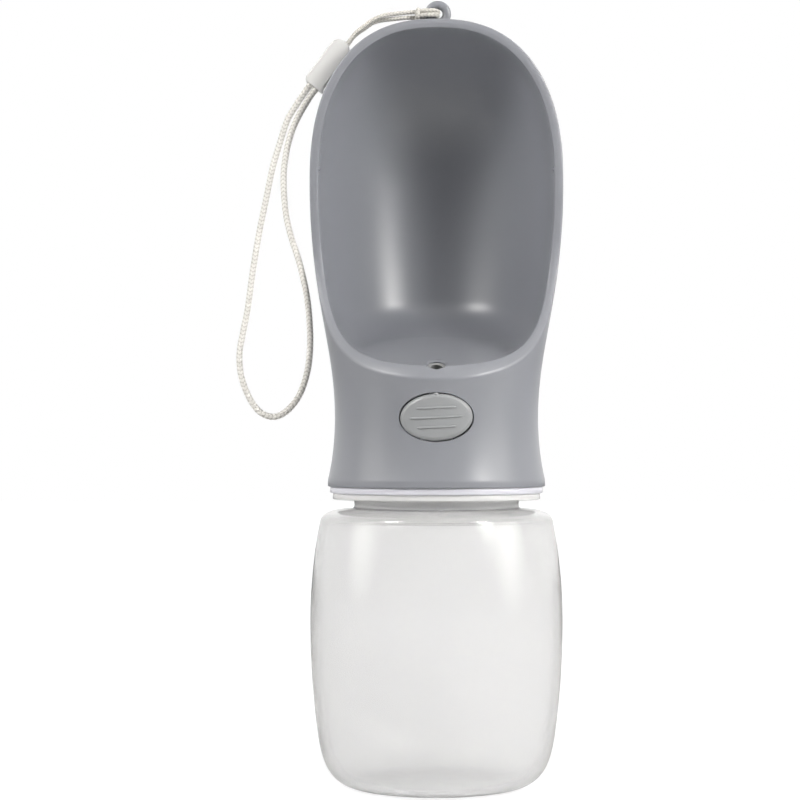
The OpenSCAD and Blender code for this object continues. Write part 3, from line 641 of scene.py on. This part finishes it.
# where the floor's underside meets the wall: a first guess at 120 mm settles in a few rounds
ceiling = np.full(columnTheta.shape, 120.0)
for _ in range(20):
    ceiling = floorHeightAt(-(skinRadius(ceiling) - wall) * np.cos(columnTheta)) - wall / math.cos(slope)
for share in np.linspace(0, 1, 9)[1:]:
    z = cup["deckTop"] + share * (ceiling - cup["deckTop"])
    loops.append(housing.add(wrapped(skinRadius(z) - wall, columnTheta, z)))
for share in (0.75, 0.5, 0.25):
    r = share * (skinRadius(ceiling) - wall)
    z = floorHeightAt(-r * np.cos(columnTheta)) - wall / math.cos(slope)
    loops.append(housing.add(wrapped(r, columnTheta, z)))
housing.cover(np.array(loops), wrap=True)
housing.cap(loops[-1], (0, 0, floorHeightAt(0) - wall / math.cos(slope)))
print("housing", housing.count, "points, joint at", joint)


# A closed ring or pipe of round section about an axis point, for the eyelet
def addLoop(shell, middle, radius, thickness, around=48, section=20):
    turnA = np.linspace(0, 2 * math.pi, around, endpoint=False)[:, None]
    turnB = np.linspace(0, 2 * math.pi, section, endpoint=False)[None, :]
    r = radius + thickness * np.cos(turnB)
    ring = np.stack([middle[0] + r * np.cos(turnA), middle[1] + thickness * np.sin(turnB) + 0 * turnA,
                     middle[2] + r * np.sin(turnA)], axis=-1)
    index = shell.add(ring)
    shell.cover(np.vstack([index, index[:1]]), wrap=True)


def addPebble(shell, middle, size, around=16, rows=8):
    lean = np.linspace(0, math.pi, rows + 1)[1:-1, None]
    turn = np.linspace(0, 2 * math.pi, around, endpoint=False)[None, :]
    unit = np.stack([np.sin(lean) * np.cos(turn), np.sin(lean) * np.sin(turn), np.cos(lean) + 0 * turn],
                    axis=-1)
    index = shell.add(np.asarray(middle) + unit * size)
    shell.cover(index, wrap=True)
    shell.cap(index[0], np.asarray(middle) + [0, 0, size[2]])
    shell.cap(index[-1], np.asarray(middle) - [0, 0, size[2]])


# The eyelet stands on the dome behind the rim, and two small stop nubs sit on the rim's inner edge
eyelet = {"across": 0.4, "behind": 7, "over": 2.5, "radius": 2.55, "thickness": 1.25}
nubs = {"height": 175.9, "size": (0.55, 0.7, 0.75), "behind": 1.0}
button = {
    "width": 19.8, "height": 12.9, "middle": 19.4, "proud": 0.6, "deep": 4, "lean": 2.5, "gap": 0.26,
    "chamfer": 0.95, "chamferFall": 0.5, "crown": 0.12,
    "ridgeStep": 2.65, "ridgeLength": 14.7, "ridgeShort": 11, "ridgeWidth": 0.5, "ridgeHeight": 0.34,
    "skirt": 1.6, "bossRadius": 2.8, "bossStart": 24.3, "bossEnd": 23.3, "tab": (0.65, 0.7, 0.5)
}
buttonZ = bottomZ + button["middle"]
faceRadius = cup["waistRadius"] + button["proud"]


# Cutter for the button's oval window, with a small rounded arris that follows the skin
def windowCutter():
    turn = np.linspace(0, 2 * math.pi, 96, endpoint=False)
    across, up = button["width"] / 2 + button["gap"], button["height"] / 2 + button["gap"]
    shell, rings = Shell(), []
    for grow, depth in ((0, 7), (0, 0.3), (0.05, 0.1), (0.16, 0.02), (0.2, -0.02), (0.2, -8)):
        x, z = (across + grow) * np.cos(turn), (up + grow) * np.sin(turn)
        y = -np.sqrt(skinRadius(buttonZ + z) ** 2 - x ** 2) + depth
        if abs(depth) > 5:
            y = np.full(y.shape, -(cup["waistRadius"] - depth))
        rings.append(shell.add(np.stack([x, y, buttonZ + z], axis=-1)))
    shell.cover(np.array(rings), wrap=True)
    shell.cap(rings[0], (0, -(cup["waistRadius"] - 7), buttonZ))
    shell.cap(rings[-1], (0, -(cup["waistRadius"] + 8), buttonZ))
    return shell.make("windowCutter", satinGrey)


# Cutter for the slanted water outlet in the floor, with its edge broken
def outletCutter():
    turn = np.linspace(0, 2 * math.pi, 48, endpoint=False)
    foot = np.array([0, -12, buttonZ])
    mouth = np.array([0, -cup["outletAhead"], floorHeightAt(-cup["outletAhead"])])
    way = (mouth - foot) / np.linalg.norm(mouth - foot)
    uphill = np.array([0, math.cos(slope), math.sin(slope)])
    spread = 1 / np.linalg.norm(np.cross(way, [1, 0, 0]) @ np.cross(uphill, [1, 0, 0]))
    shell, rings = Shell(), []
    level = np.array([0, -math.sin(slope), math.cos(slope)])
    for centre, grow in ((-4.5 * way, 0), (-0.55 * way, 0), (-0.3 * way, 0.15), (0.02 * way, 0.75),
                         (1.2 * level, 0.8)):
        r = cup["outletRadius"] + grow
        rings.append(shell.add(mouth + centre + r * (np.cos(turn)[:, None] * [1, 0, 0]
                                                     + spread * np.sin(turn)[:, None] * uphill)))
    shell.cover(np.array(rings), wrap=True)
    shell.cap(rings[0], mouth - 4.5 * way)
    shell.cap(rings[-1], mouth + 1.2 * level)
    return shell.make("outletCutter", satinGrey)


# Moulded polypropylene with a fine spark-eroded grain: satin, with soft wide highlights
def satinPolypropylene(name, colour, roughness):
    material, tree = newMaterial(name)
    where = addNode(tree, "TexCoord")
    grainPitch = 0.35   # mm; the mould's own grain is about 0.1 mm, too fine to show
    grain = addNode(tree, "TexNoise", {"Scale": 1000 / grainPitch, "Detail": 2.0, "Roughness": 0.6},
                    {"Vector": where.outputs["Object"]})
    # 1000 / 45: clouds about 22 mm across, where the melt set a little glossier
    cloud = addNode(tree, "TexNoise", {"Scale": 45.0, "Detail": 3.0}, {"Vector": where.outputs["Object"]})
    shade = addNode(tree, "ValToRGB", links={"Fac": cloud.outputs["Fac"]})
    base = hexToLinear(colour)
    for element, tone in zip(shade.color_ramp.elements, (0.965, 1.03)):
        element.color = [c * tone for c in base[:3]] + [1]
    gloss = addNode(tree, "MapRange", {"To Min": roughness - 0.04, "To Max": roughness + 0.05},
                    {"Value": cloud.outputs["Fac"]})
    bump = addNode(tree, "Bump", {"Strength": 0.12, "Distance": 0.00003}, {"Height": grain.outputs["Fac"]})
    shader = addNode(tree, "BsdfPrincipled", {"IOR": 1.49}, {
        "Base Color": shade.outputs["Color"], "Roughness": gloss.outputs[0], "Normal": bump.outputs["Normal"]
    })
    addNode(tree, "OutputMaterial", links={"Surface": shader.outputs[0]})
    return material


satinGrey = satinPolypropylene("satinPolypropyleneGrey", "#7f8187", 0.33)
cupPiece = housing.make("cupAndHousing", satinGrey)
cut(cupPiece, [windowCutter(), outletCutter()])
trim = Shell()
eyeletMiddle = (eyelet["across"], eyelet["behind"], topZ + eyelet["over"])
addLoop(trim, eyeletMiddle, eyelet["radius"], eyelet["thickness"])
nubAt = innerEdge[np.argmin(np.abs(innerEdge[:, 2] - nubs["height"]))]
for hand in (-1, 1):
    addPebble(trim, (hand * nubAt[0], nubAt[1] + nubs["behind"], nubAt[2]), np.array(nubs["size"]))
trimPiece = trim.make("eyeletAndNubs", satinGrey)
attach(cupPiece, "head")
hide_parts("housing")
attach(trimPiece, "head")


# The oval button: a crowned face with a chamfered edge, three grip ridges and a small locating tab
def makeButton():
    shell = Shell()
    turn = np.linspace(0, 2 * math.pi, 96, endpoint=False)
    across, up = button["width"] / 2, button["height"] / 2

    def oval(inset, fall, share=1.0):
        x = (across - inset) * share * np.cos(turn)
        z = (up - inset) * share * np.sin(turn)
        y = -np.sqrt(faceRadius ** 2 - x ** 2) + fall - button["crown"] * (1 - share ** 2)
        return np.stack([x, y, z], axis=-1)

    chamfer, fall = button["chamfer"], button["chamferFall"]
    rings = [oval(chamfer, 0, share) for share in np.linspace(0.08, 1, 14)]
    rings += [oval(chamfer - 0.12, 0.03), oval(chamfer * 0.5, fall * 0.45), oval(0.12, fall),
              oval(0.02, fall + 0.18), oval(0, fall + 0.4), oval(0, button["deep"] - 0.2),
              oval(0.2, button["deep"])]
    rings += [oval(button["skirt"], button["deep"]), oval(button["skirt"], 1.5)]
    index = shell.add(np.array(rings))
    shell.cover(index, wrap=True)
    shell.cap(index[0], (0, -faceRadius - button["crown"], 0))
    shell.cap(index[-1], (0, -faceRadius + 1.5, 0))
    # boss that the push rod sits in
    thick, end = button["bossRadius"], -button["bossEnd"]
    boss = np.stack([thick * np.cos(turn[::3]), 0 * turn[::3], thick * np.sin(turn[::3])], axis=-1)
    index = shell.add(np.array([boss + [0, y, 0] for y in (-faceRadius + 1, -button["bossStart"], end)]))
    shell.cover(index, wrap=True)
    shell.cap(index[0], (0, -faceRadius + 1, 0))
    shell.cap(index[-1], (0, end, 0))
    # ridges: half-round bars that taper out at both ends
    for row in (-1, 0, 1):
        half = (button["ridgeLength"] if row == 0 else button["ridgeShort"]) / 2
        x = half * np.sin(np.linspace(-math.pi / 2, math.pi / 2, 40))
        swell = np.clip((half - np.abs(x)) / 0.6, 0.02, 1) ** 0.5
        lean = np.linspace(0, 2 * math.pi, 16, endpoint=False)
        z = row * button["ridgeStep"] + 0.5 * button["ridgeWidth"] * swell[:, None] * (
            np.cos(lean) - 0.6 * np.maximum(np.sin(lean), 0))
        y = (-np.sqrt(faceRadius ** 2 - x ** 2)[:, None] - 0.06
             - button["ridgeHeight"] * swell[:, None] * np.sin(lean))
        index = shell.add(np.stack([np.broadcast_to(x[:, None], z.shape), y, z], axis=-1))
        shell.cover(index, wrap=True)
        shell.cap(index[0], (x[0], y[0].mean(), z[0].mean()))
        shell.cap(index[-1], (x[-1], y[-1].mean(), z[-1].mean()))
    addPebble(shell, (0.2, -faceRadius + 0.75, up - 0.15), np.array(button["tab"]))
    lean = math.radians(button["lean"])
    for points in shell.points:
        x, z = points[:, 0].copy(), points[:, 2].copy()
        points[:, 0] = x * math.cos(lean) - z * math.sin(lean)
        points[:, 2] = x * math.sin(lean) + z * math.cos(lean) + buttonZ
    return shell


# The same moulded polypropylene in a slightly lighter grey: the button reads apart from the housing
buttonGrey = satinPolypropylene("satinPolypropyleneButton", "#8b8d8f", 0.34)
buttonPiece = makeButton().make("ovalButton", buttonGrey, 50)
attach(buttonPiece, "button")
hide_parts("button")
print("button")


# The single-start thread, as height over the plain wall: zero between the ridges
thread = {"pitch": 4, "turns": 1.25, "root": 1.9, "crest": 0.8, "depth": 1.1, "gap": 0.35, "fade": 47}


def threadRelief(angle, z, start):
    relief = np.zeros(np.broadcast(angle, z).shape)
    for lap in (0, 1):
        a = np.degrees(angle) % 360 - 90 + 360 * (lap + (np.degrees(angle) % 360 < 90))
        centre = start + thread["pitch"] * a / 360
        side = (thread["root"] / 2 - np.abs(z - centre)) / ((thread["root"] - thread["crest"]) / 2)
        ends = np.clip(np.minimum(a, 360 * thread["turns"] - a) / thread["fade"], 0, 1)
        relief = np.maximum(relief, np.clip(side, 0, 1) * ends)
    return relief


bottle = {
    "footRadius": 20, "puntRadius": 16, "puntHeight": 3, "cornerRadius": 34.2, "cornerHeight": 19,
    "bodyRadius": 35.9, "widestHeight": 47, "shoulderRadius": 33.1, "shoulderDrop": 3.5,
    "bodyHeight": 79.3, "wall": 1.4, "neckRadius": 23.4, "neckWall": 1.9, "neckGap": 2.5,
    "collarRadius": 29.5, "collarHeight": 1.7, "finishHeight": 10.6, "columns": 180
}
collarZ = bottle["bodyHeight"] + bottle["neckGap"]
finishZ = collarZ + bottle["collarHeight"]
mouthZ = finishZ + bottle["finishHeight"]
threadZ = finishZ + thread["root"] / 2 + 1.5


def bodyCurve(inset):
    b = bottle
    shoulderZ = b["bodyHeight"] - b["shoulderDrop"]
    t = np.linspace(0, 1, 14)[1:]
    lower = np.stack([b["bodyRadius"] - inset - (b["bodyRadius"] - b["cornerRadius"]) * (1 - t) ** 2,
                      b["cornerHeight"] + (b["widestHeight"] - b["cornerHeight"]) * t], axis=1)
    upper = np.stack([b["bodyRadius"] - inset - (b["bodyRadius"] - b["shoulderRadius"]) * t ** 2,
                      b["widestHeight"] + (shoulderZ - b["widestHeight"]) * t], axis=1)
    foot = bezier((b["footRadius"] - inset / 2, inset),
                  (b["footRadius"] + (b["cornerRadius"] - b["footRadius"]) * 0.74 - inset, inset),
                  (b["cornerRadius"] - 1.3 - inset, b["cornerHeight"] * 0.34 + inset / 2),
                  (b["cornerRadius"] - inset, b["cornerHeight"]), 28)
    shoulder = bezier((b["shoulderRadius"] - inset, shoulderZ - inset / 2),
                      (b["shoulderRadius"] - 0.4 - inset, shoulderZ + 0.5 * b["shoulderDrop"] - inset),
                      (b["shoulderRadius"] - 2 - inset, b["bodyHeight"] - 1 - inset),
                      ((b["shoulderRadius"] + b["neckRadius"]) / 2 - inset,
                       b["bodyHeight"] - 0.4 - inset), 14)
    return np.vstack([foot, lower, upper[:-1], shoulder])


def makeBottle():
    b = bottle
    neck, wall, collar = b["neckRadius"], b["wall"], b["collarRadius"]
    bore = neck - b["neckWall"]
    punt = [(b["puntRadius"] * math.sin(a), b["puntHeight"] * (0.5 + 0.5 * math.cos(a * 2)))
            for a in np.linspace(0.02, math.pi / 2, 16)]
    outside = punt + bodyCurve(0).tolist() + [
        (neck + 1.1, b["bodyHeight"] - 0.15), (neck + 0.35, b["bodyHeight"] + 0.1),
        (neck + 0.05, b["bodyHeight"] + 0.5), (neck, b["bodyHeight"] + 0.9), (neck, collarZ - 0.25),
        (neck + 0.25, collarZ), (collar - 0.35, collarZ), (collar - 0.08, collarZ + 0.1),
        (collar, collarZ + 0.4), (collar, finishZ - 0.4), (collar - 0.08, finishZ - 0.1),
        (collar - 0.35, finishZ), (neck + 0.2, finishZ), (neck, finishZ + 0.15)
    ]
    finish = [(neck, z) for z in np.arange(finishZ + 0.35, mouthZ - 0.6, 0.25)]
    inner = bodyCurve(wall)[::-1].tolist()
    inside = [
        (neck, mouthZ - 0.4), (neck - 0.12, mouthZ - 0.1), (neck - 0.4, mouthZ),
        (bore + 0.3, mouthZ), (bore, mouthZ - 0.3), (bore, collarZ), (bore, b["bodyHeight"] + 0.2),
        (bore + 0.25, b["bodyHeight"] - wall + 0.3)
    ] + inner + [(r, z + wall) for r, z in punt[::-1]]
    shell = Shell()
    points = turned(outside + finish + inside, b["columns"])
    first = len(outside)
    part = points[first:first + len(finish)]
    angle = np.linspace(0, 2 * math.pi, b["columns"], endpoint=False)
    lift = thread["depth"] * threadRelief(angle[None, :], part[..., 2], threadZ)
    part[..., :2] *= (1 + lift / neck)[..., None]
    index = shell.add(points)
    shell.cover(index, wrap=True)
    shell.cap(index[0], (0, 0, b["puntHeight"]))
    shell.cap(index[-1], (0, 0, b["puntHeight"] + wall))
    return shell


# Clear polypropylene, blow-moulded: a slight milky haze takes the edge off what shows through it
clearBottle, tree = newMaterial("clearPolypropyleneBlown")
where = addNode(tree, "TexCoord")
# 1000 / 38: waves about 26 mm long, as the blown wall sags between thick and thin
waves = addNode(tree, "TexNoise", {"Scale": 38.0, "Detail": 1.0}, {"Vector": where.outputs["Object"]})
bump = addNode(tree, "Bump", {"Strength": 0.15, "Distance": 0.0002}, {"Height": waves.outputs["Fac"]})
tint = addNode(tree, "ValToRGB", links={"Fac": waves.outputs["Fac"]})
tint.color_ramp.elements[0].color = hexToLinear("#f3f3f3")
tint.color_ramp.elements[1].color = hexToLinear("#f7f7f7")
# the thick neck and collar are milkier than the blown walls
height = addNode(tree, "SeparateXYZ", links={"Vector": where.outputs["Object"]})
clear = addNode(tree, "MapRange", {"From Min": 0.079, "From Max": 0.08, "To Min": 0.78, "To Max": 0.36},
                {"Value": height.outputs["Z"]})
shader = addNode(tree, "BsdfPrincipled", {"Roughness": 0.16, "IOR": 1.45, "Specular IOR Level": 0.12}, {
    "Base Color": tint.outputs["Color"], "Normal": bump.outputs["Normal"],
    "Transmission Weight": clear.outputs["Result"]
})
addNode(tree, "OutputMaterial", links={"Surface": shader.outputs[0]})
bottlePiece = makeBottle().make("clearBottle", clearBottle, 50)
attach(bottlePiece, "bottle")
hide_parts("bottle")

# The milky sleeve: a flange under the housing, a skirt and the ridge that takes the bottle's thread
sleeve = {"flangeRadius": 30.2, "flange": 1.9, "skirtRadius": 27.15, "top": 95.6, "columns": 150}


def makeSleeve():
    flange, skirt = sleeve["flangeRadius"], sleeve["skirtRadius"]
    bore = bottle["neckRadius"] + thread["depth"] + thread["gap"]
    seat = finishZ + sleeve["flange"]
    outside = [(bore, finishZ + 0.3), (bore + 0.3, finishZ), (flange - 0.45, finishZ),
               (flange - 0.13, finishZ + 0.13), (flange, finishZ + 0.45), (flange, seat - 0.3),
               (flange - 0.1, seat - 0.08), (flange - 0.3, seat), (skirt + 0.2, seat), (skirt, seat + 0.2),
               (skirt, sleeve["top"] - 0.3), (skirt - 0.3, sleeve["top"]), (bore + 0.3, sleeve["top"])]
    inside = [(bore, z) for z in np.arange(sleeve["top"] - 0.3, finishZ + 0.4, -0.25)]
    points = turned(outside + inside, sleeve["columns"])
    part = points[len(outside):]
    angle = np.linspace(0, 2 * math.pi, sleeve["columns"], endpoint=False)
    lift = thread["depth"] * threadRelief(angle[None, :], part[..., 2], threadZ + thread["pitch"] / 2)
    part[..., :2] *= (1 - lift / bore)[..., None]
    shell = Shell()
    index = shell.add(points)
    shell.cover(np.vstack([index, index[:1]]), wrap=True)
    return shell


# Natural polypropylene, injection-moulded: milky and slightly lavender, light bleeds into its edges
milkySleeve, tree = newMaterial("milkyPolypropylene")
# 1000 / 120: clouds about 8 mm across
cloud = addNode(tree, "TexNoise", {"Scale": 120.0, "Detail": 2.0})
tint = addNode(tree, "ValToRGB", links={"Fac": cloud.outputs["Fac"]})
tint.color_ramp.elements[0].color = hexToLinear("#cbcbd4")
tint.color_ramp.elements[1].color = hexToLinear("#d4d4dc")
shader = addNode(tree, "BsdfPrincipled", {
    "Roughness": 0.3, "IOR": 1.49, "Subsurface Weight": 0.5, "Subsurface Scale": 0.002,
    "Subsurface Radius": (1, 1, 1)
}, {"Base Color": tint.outputs["Color"]})
addNode(tree, "OutputMaterial", links={"Surface": shader.outputs[0]})
sleevePiece = makeSleeve().make("threadedSleeve", milkySleeve, 50)
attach(sleevePiece, "head")
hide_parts("threaded_sleeve")
print("bottle and sleeve")

# The clasp's two halves: a flat plate with a round end, one foot corner cut off and a tooth at the other
clasp = {"length": 15.9, "width": 6, "thick": 2, "round": 0.4, "seam": 0.05, "cut": 1, "tooth": 0.5,
         "at": (-35.78, 7, 200.45), "tilt": 37.2}


def claspOutline(inset):
    half, long, cut = clasp["width"] / 2, clasp["length"], clasp["cut"]
    edge, tooth = half - inset, clasp["tooth"] * max(0, 1 - inset / clasp["round"])
    arc = np.linspace(0, math.pi, 25)
    return np.vstack([
        np.stack([edge * np.cos(arc), long - half + edge * np.sin(arc)], axis=1),
        [(-edge, y) for y in np.linspace(long - half - 1, cut + 0.3, 8)],
        [(0.1 - edge, cut - 0.1), (0.45 * cut - edge, 0.35 * cut + 0.75 * inset)],
        [(0.85 * cut - edge, 0.05 + inset)],
        [(x, inset) for x in np.linspace(cut + 0.2 - edge, edge - 0.8, 5)],
        [(edge - 0.35, inset), (edge + 0.5 * tooth, 0.02 + inset), (edge + tooth, 0.2 + inset)],
        [(edge + tooth, 0.6 + inset), (edge + 0.4 * tooth, 1 + inset)],
        [(edge, y) for y in np.linspace(1.5 + inset, long - half - 1, 8)],
    ])


def makeClaspHalf(front):
    shell, rings = Shell(), []
    levels = [(0.15, clasp["seam"]), (0, clasp["seam"] + 0.15)]
    levels += [(clasp["round"] * (1 - math.cos(a)), clasp["thick"] - clasp["round"] * (1 - math.sin(a)))
               for a in np.linspace(0, math.pi / 2, 8)]
    for inset, level in levels:
        flat = claspOutline(inset)
        rings.append(np.column_stack([flat, np.full(len(flat), level)]))
    middle, crownRing = np.array([0, clasp["length"] / 2]), rings[-1]
    for share in (0.7, 0.4, 0.15):
        flat = middle + (crownRing[:, :2] - middle) * share
        rings.append(np.column_stack([flat, np.full(len(flat), clasp["thick"] + 0.05 * (1 - share))]))
    points = np.array(rings)
    tilt = math.radians(clasp["tilt"])
    x, y, z = points[..., 0], points[..., 1], points[..., 2] * (-1 if front else 1)
    world = np.stack([clasp["at"][0] + x * math.cos(tilt) + y * math.sin(tilt), clasp["at"][1] + z,
                      clasp["at"][2] - x * math.sin(tilt) + y * math.cos(tilt)], axis=-1)
    index = shell.add(world)
    shell.cover(index, wrap=True)
    shell.cap(index[0], world[0].mean(axis=0))
    shell.cap(index[-1], world[-1].mean(axis=0))
    return shell


# Moulded ABS of about the same gloss as the cup, so that its round end catches a soft light
claspGrey = satinPolypropylene("glossyAbsClasp", "#cdcdcc", 0.34)
for label, front in (("claspFront", True), ("claspBack", False)):
    half = makeClaspHalf(front).make(label, claspGrey, 50)
    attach(half, "head")
    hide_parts("clasp_front" if front else "clasp_back")
print("clasp")

# The valve's return spring: round wire, closed at the plug end; the real one is squeezed as the button goes
# in, here it is drawn at rest
spring = {"radius": 3.4, "wire": 0.6, "turns": 7, "front": -1.8, "rear": 12, "travel": 2.5}
turn = np.linspace(0, 2 * math.pi * spring["turns"], spring["turns"] * 36 + 1)
rise = (spring["rear"] - spring["front"] - spring["wire"]) / turn[-1]
core = np.stack([spring["radius"] * np.cos(turn), spring["front"] + spring["wire"] / 2 + rise * turn,
                 buttonZ - spring["radius"] * np.sin(turn)], axis=1)
outward = np.stack([np.cos(turn), 0 * turn, -np.sin(turn)], axis=1)
level = np.linspace(0, 2 * math.pi, 12, endpoint=False)
coil = (core[:, None, :] + spring["wire"] / 2 * (np.cos(level)[None, :, None] * outward[:, None, :]
                                                 + np.sin(level)[None, :, None] * np.array([0, 1, 0])))
wire = Shell()
index = wire.add(coil)
wire.cover(index, wrap=True)
wire.cap(index[0], core[0])
wire.cap(index[-1], core[-1])

# Drawn spring steel: bright; the fine lines along the drawn wire are drawn here as small patches of varying
# roughness
drawnSteel, tree = newMaterial("drawnSpringSteel")
lines = addNode(tree, "TexNoise", {"Scale": 900.0, "Detail": 2.0})   # about 1 mm apart
gloss = addNode(tree, "MapRange", {"To Min": 0.22, "To Max": 0.36}, {"Value": lines.outputs["Fac"]})
shader = addNode(tree, "BsdfPrincipled", {"Metallic": 1.0, "Base Color": hexToLinear("#c4c4c2")},
                 {"Roughness": gloss.outputs[0]})
addNode(tree, "OutputMaterial", links={"Surface": shader.outputs[0]})
springPiece = wire.make("valveSpring", drawnSteel, 60)
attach(springPiece, "head")
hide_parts("valve_spring")
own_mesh(springPiece)


# Inside parts keep their solids: white acetal, black nitrile and translucent silicone
def innerMaterial(name, light, dark, roughness, transmission=0.0):
    material, tree = newMaterial(name)
    cloud = addNode(tree, "TexNoise", {"Scale": 220.0, "Detail": 3.0})   # clouds 4 to 5 mm across
    tint = addNode(tree, "ValToRGB", links={"Fac": cloud.outputs["Fac"]})
    tint.color_ramp.elements[0].color = hexToLinear(dark)
    tint.color_ramp.elements[1].color = hexToLinear(light)
    bump = addNode(tree, "Bump", {"Strength": 0.1, "Distance": 0.00003}, {"Height": cloud.outputs["Fac"]})
    shader = addNode(tree, "BsdfPrincipled", {"Roughness": roughness, "IOR": 1.48,
                                              "Transmission Weight": transmission},
                     {"Base Color": tint.outputs["Color"], "Normal": bump.outputs["Normal"]})
    addNode(tree, "OutputMaterial", links={"Surface": shader.outputs[0]})
    return material


acetal = innerMaterial("mouldedAcetalWhite", "#eaebec", "#dfe0e1", 0.38)
nitrile = innerMaterial("mouldedNitrileRubber", "#2b2b2d", "#232324", 0.6)
silicone = innerMaterial("mouldedSilicone", "#e6e6e2", "#dcdcd8", 0.45, 0.4)
smokedSilicone = innerMaterial("mouldedSmokedSilicone", "#9c9d9d", "#929393", 0.5, 0.3)
insides = {"valve_body": acetal, "push_rod": acetal, "gland_bush": acetal, "end_plug": acetal,
           "valve_seal": nitrile, "stem_seal": nitrile, "end_plug_seal": nitrile,
           "outlet_tube": smokedSilicone, "neck_gasket": silicone}
for name, material in insides.items():
    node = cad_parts[name]
    node.data.materials.clear()
    node.data.materials.append(material)
print("spring and valve parts")

low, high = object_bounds()
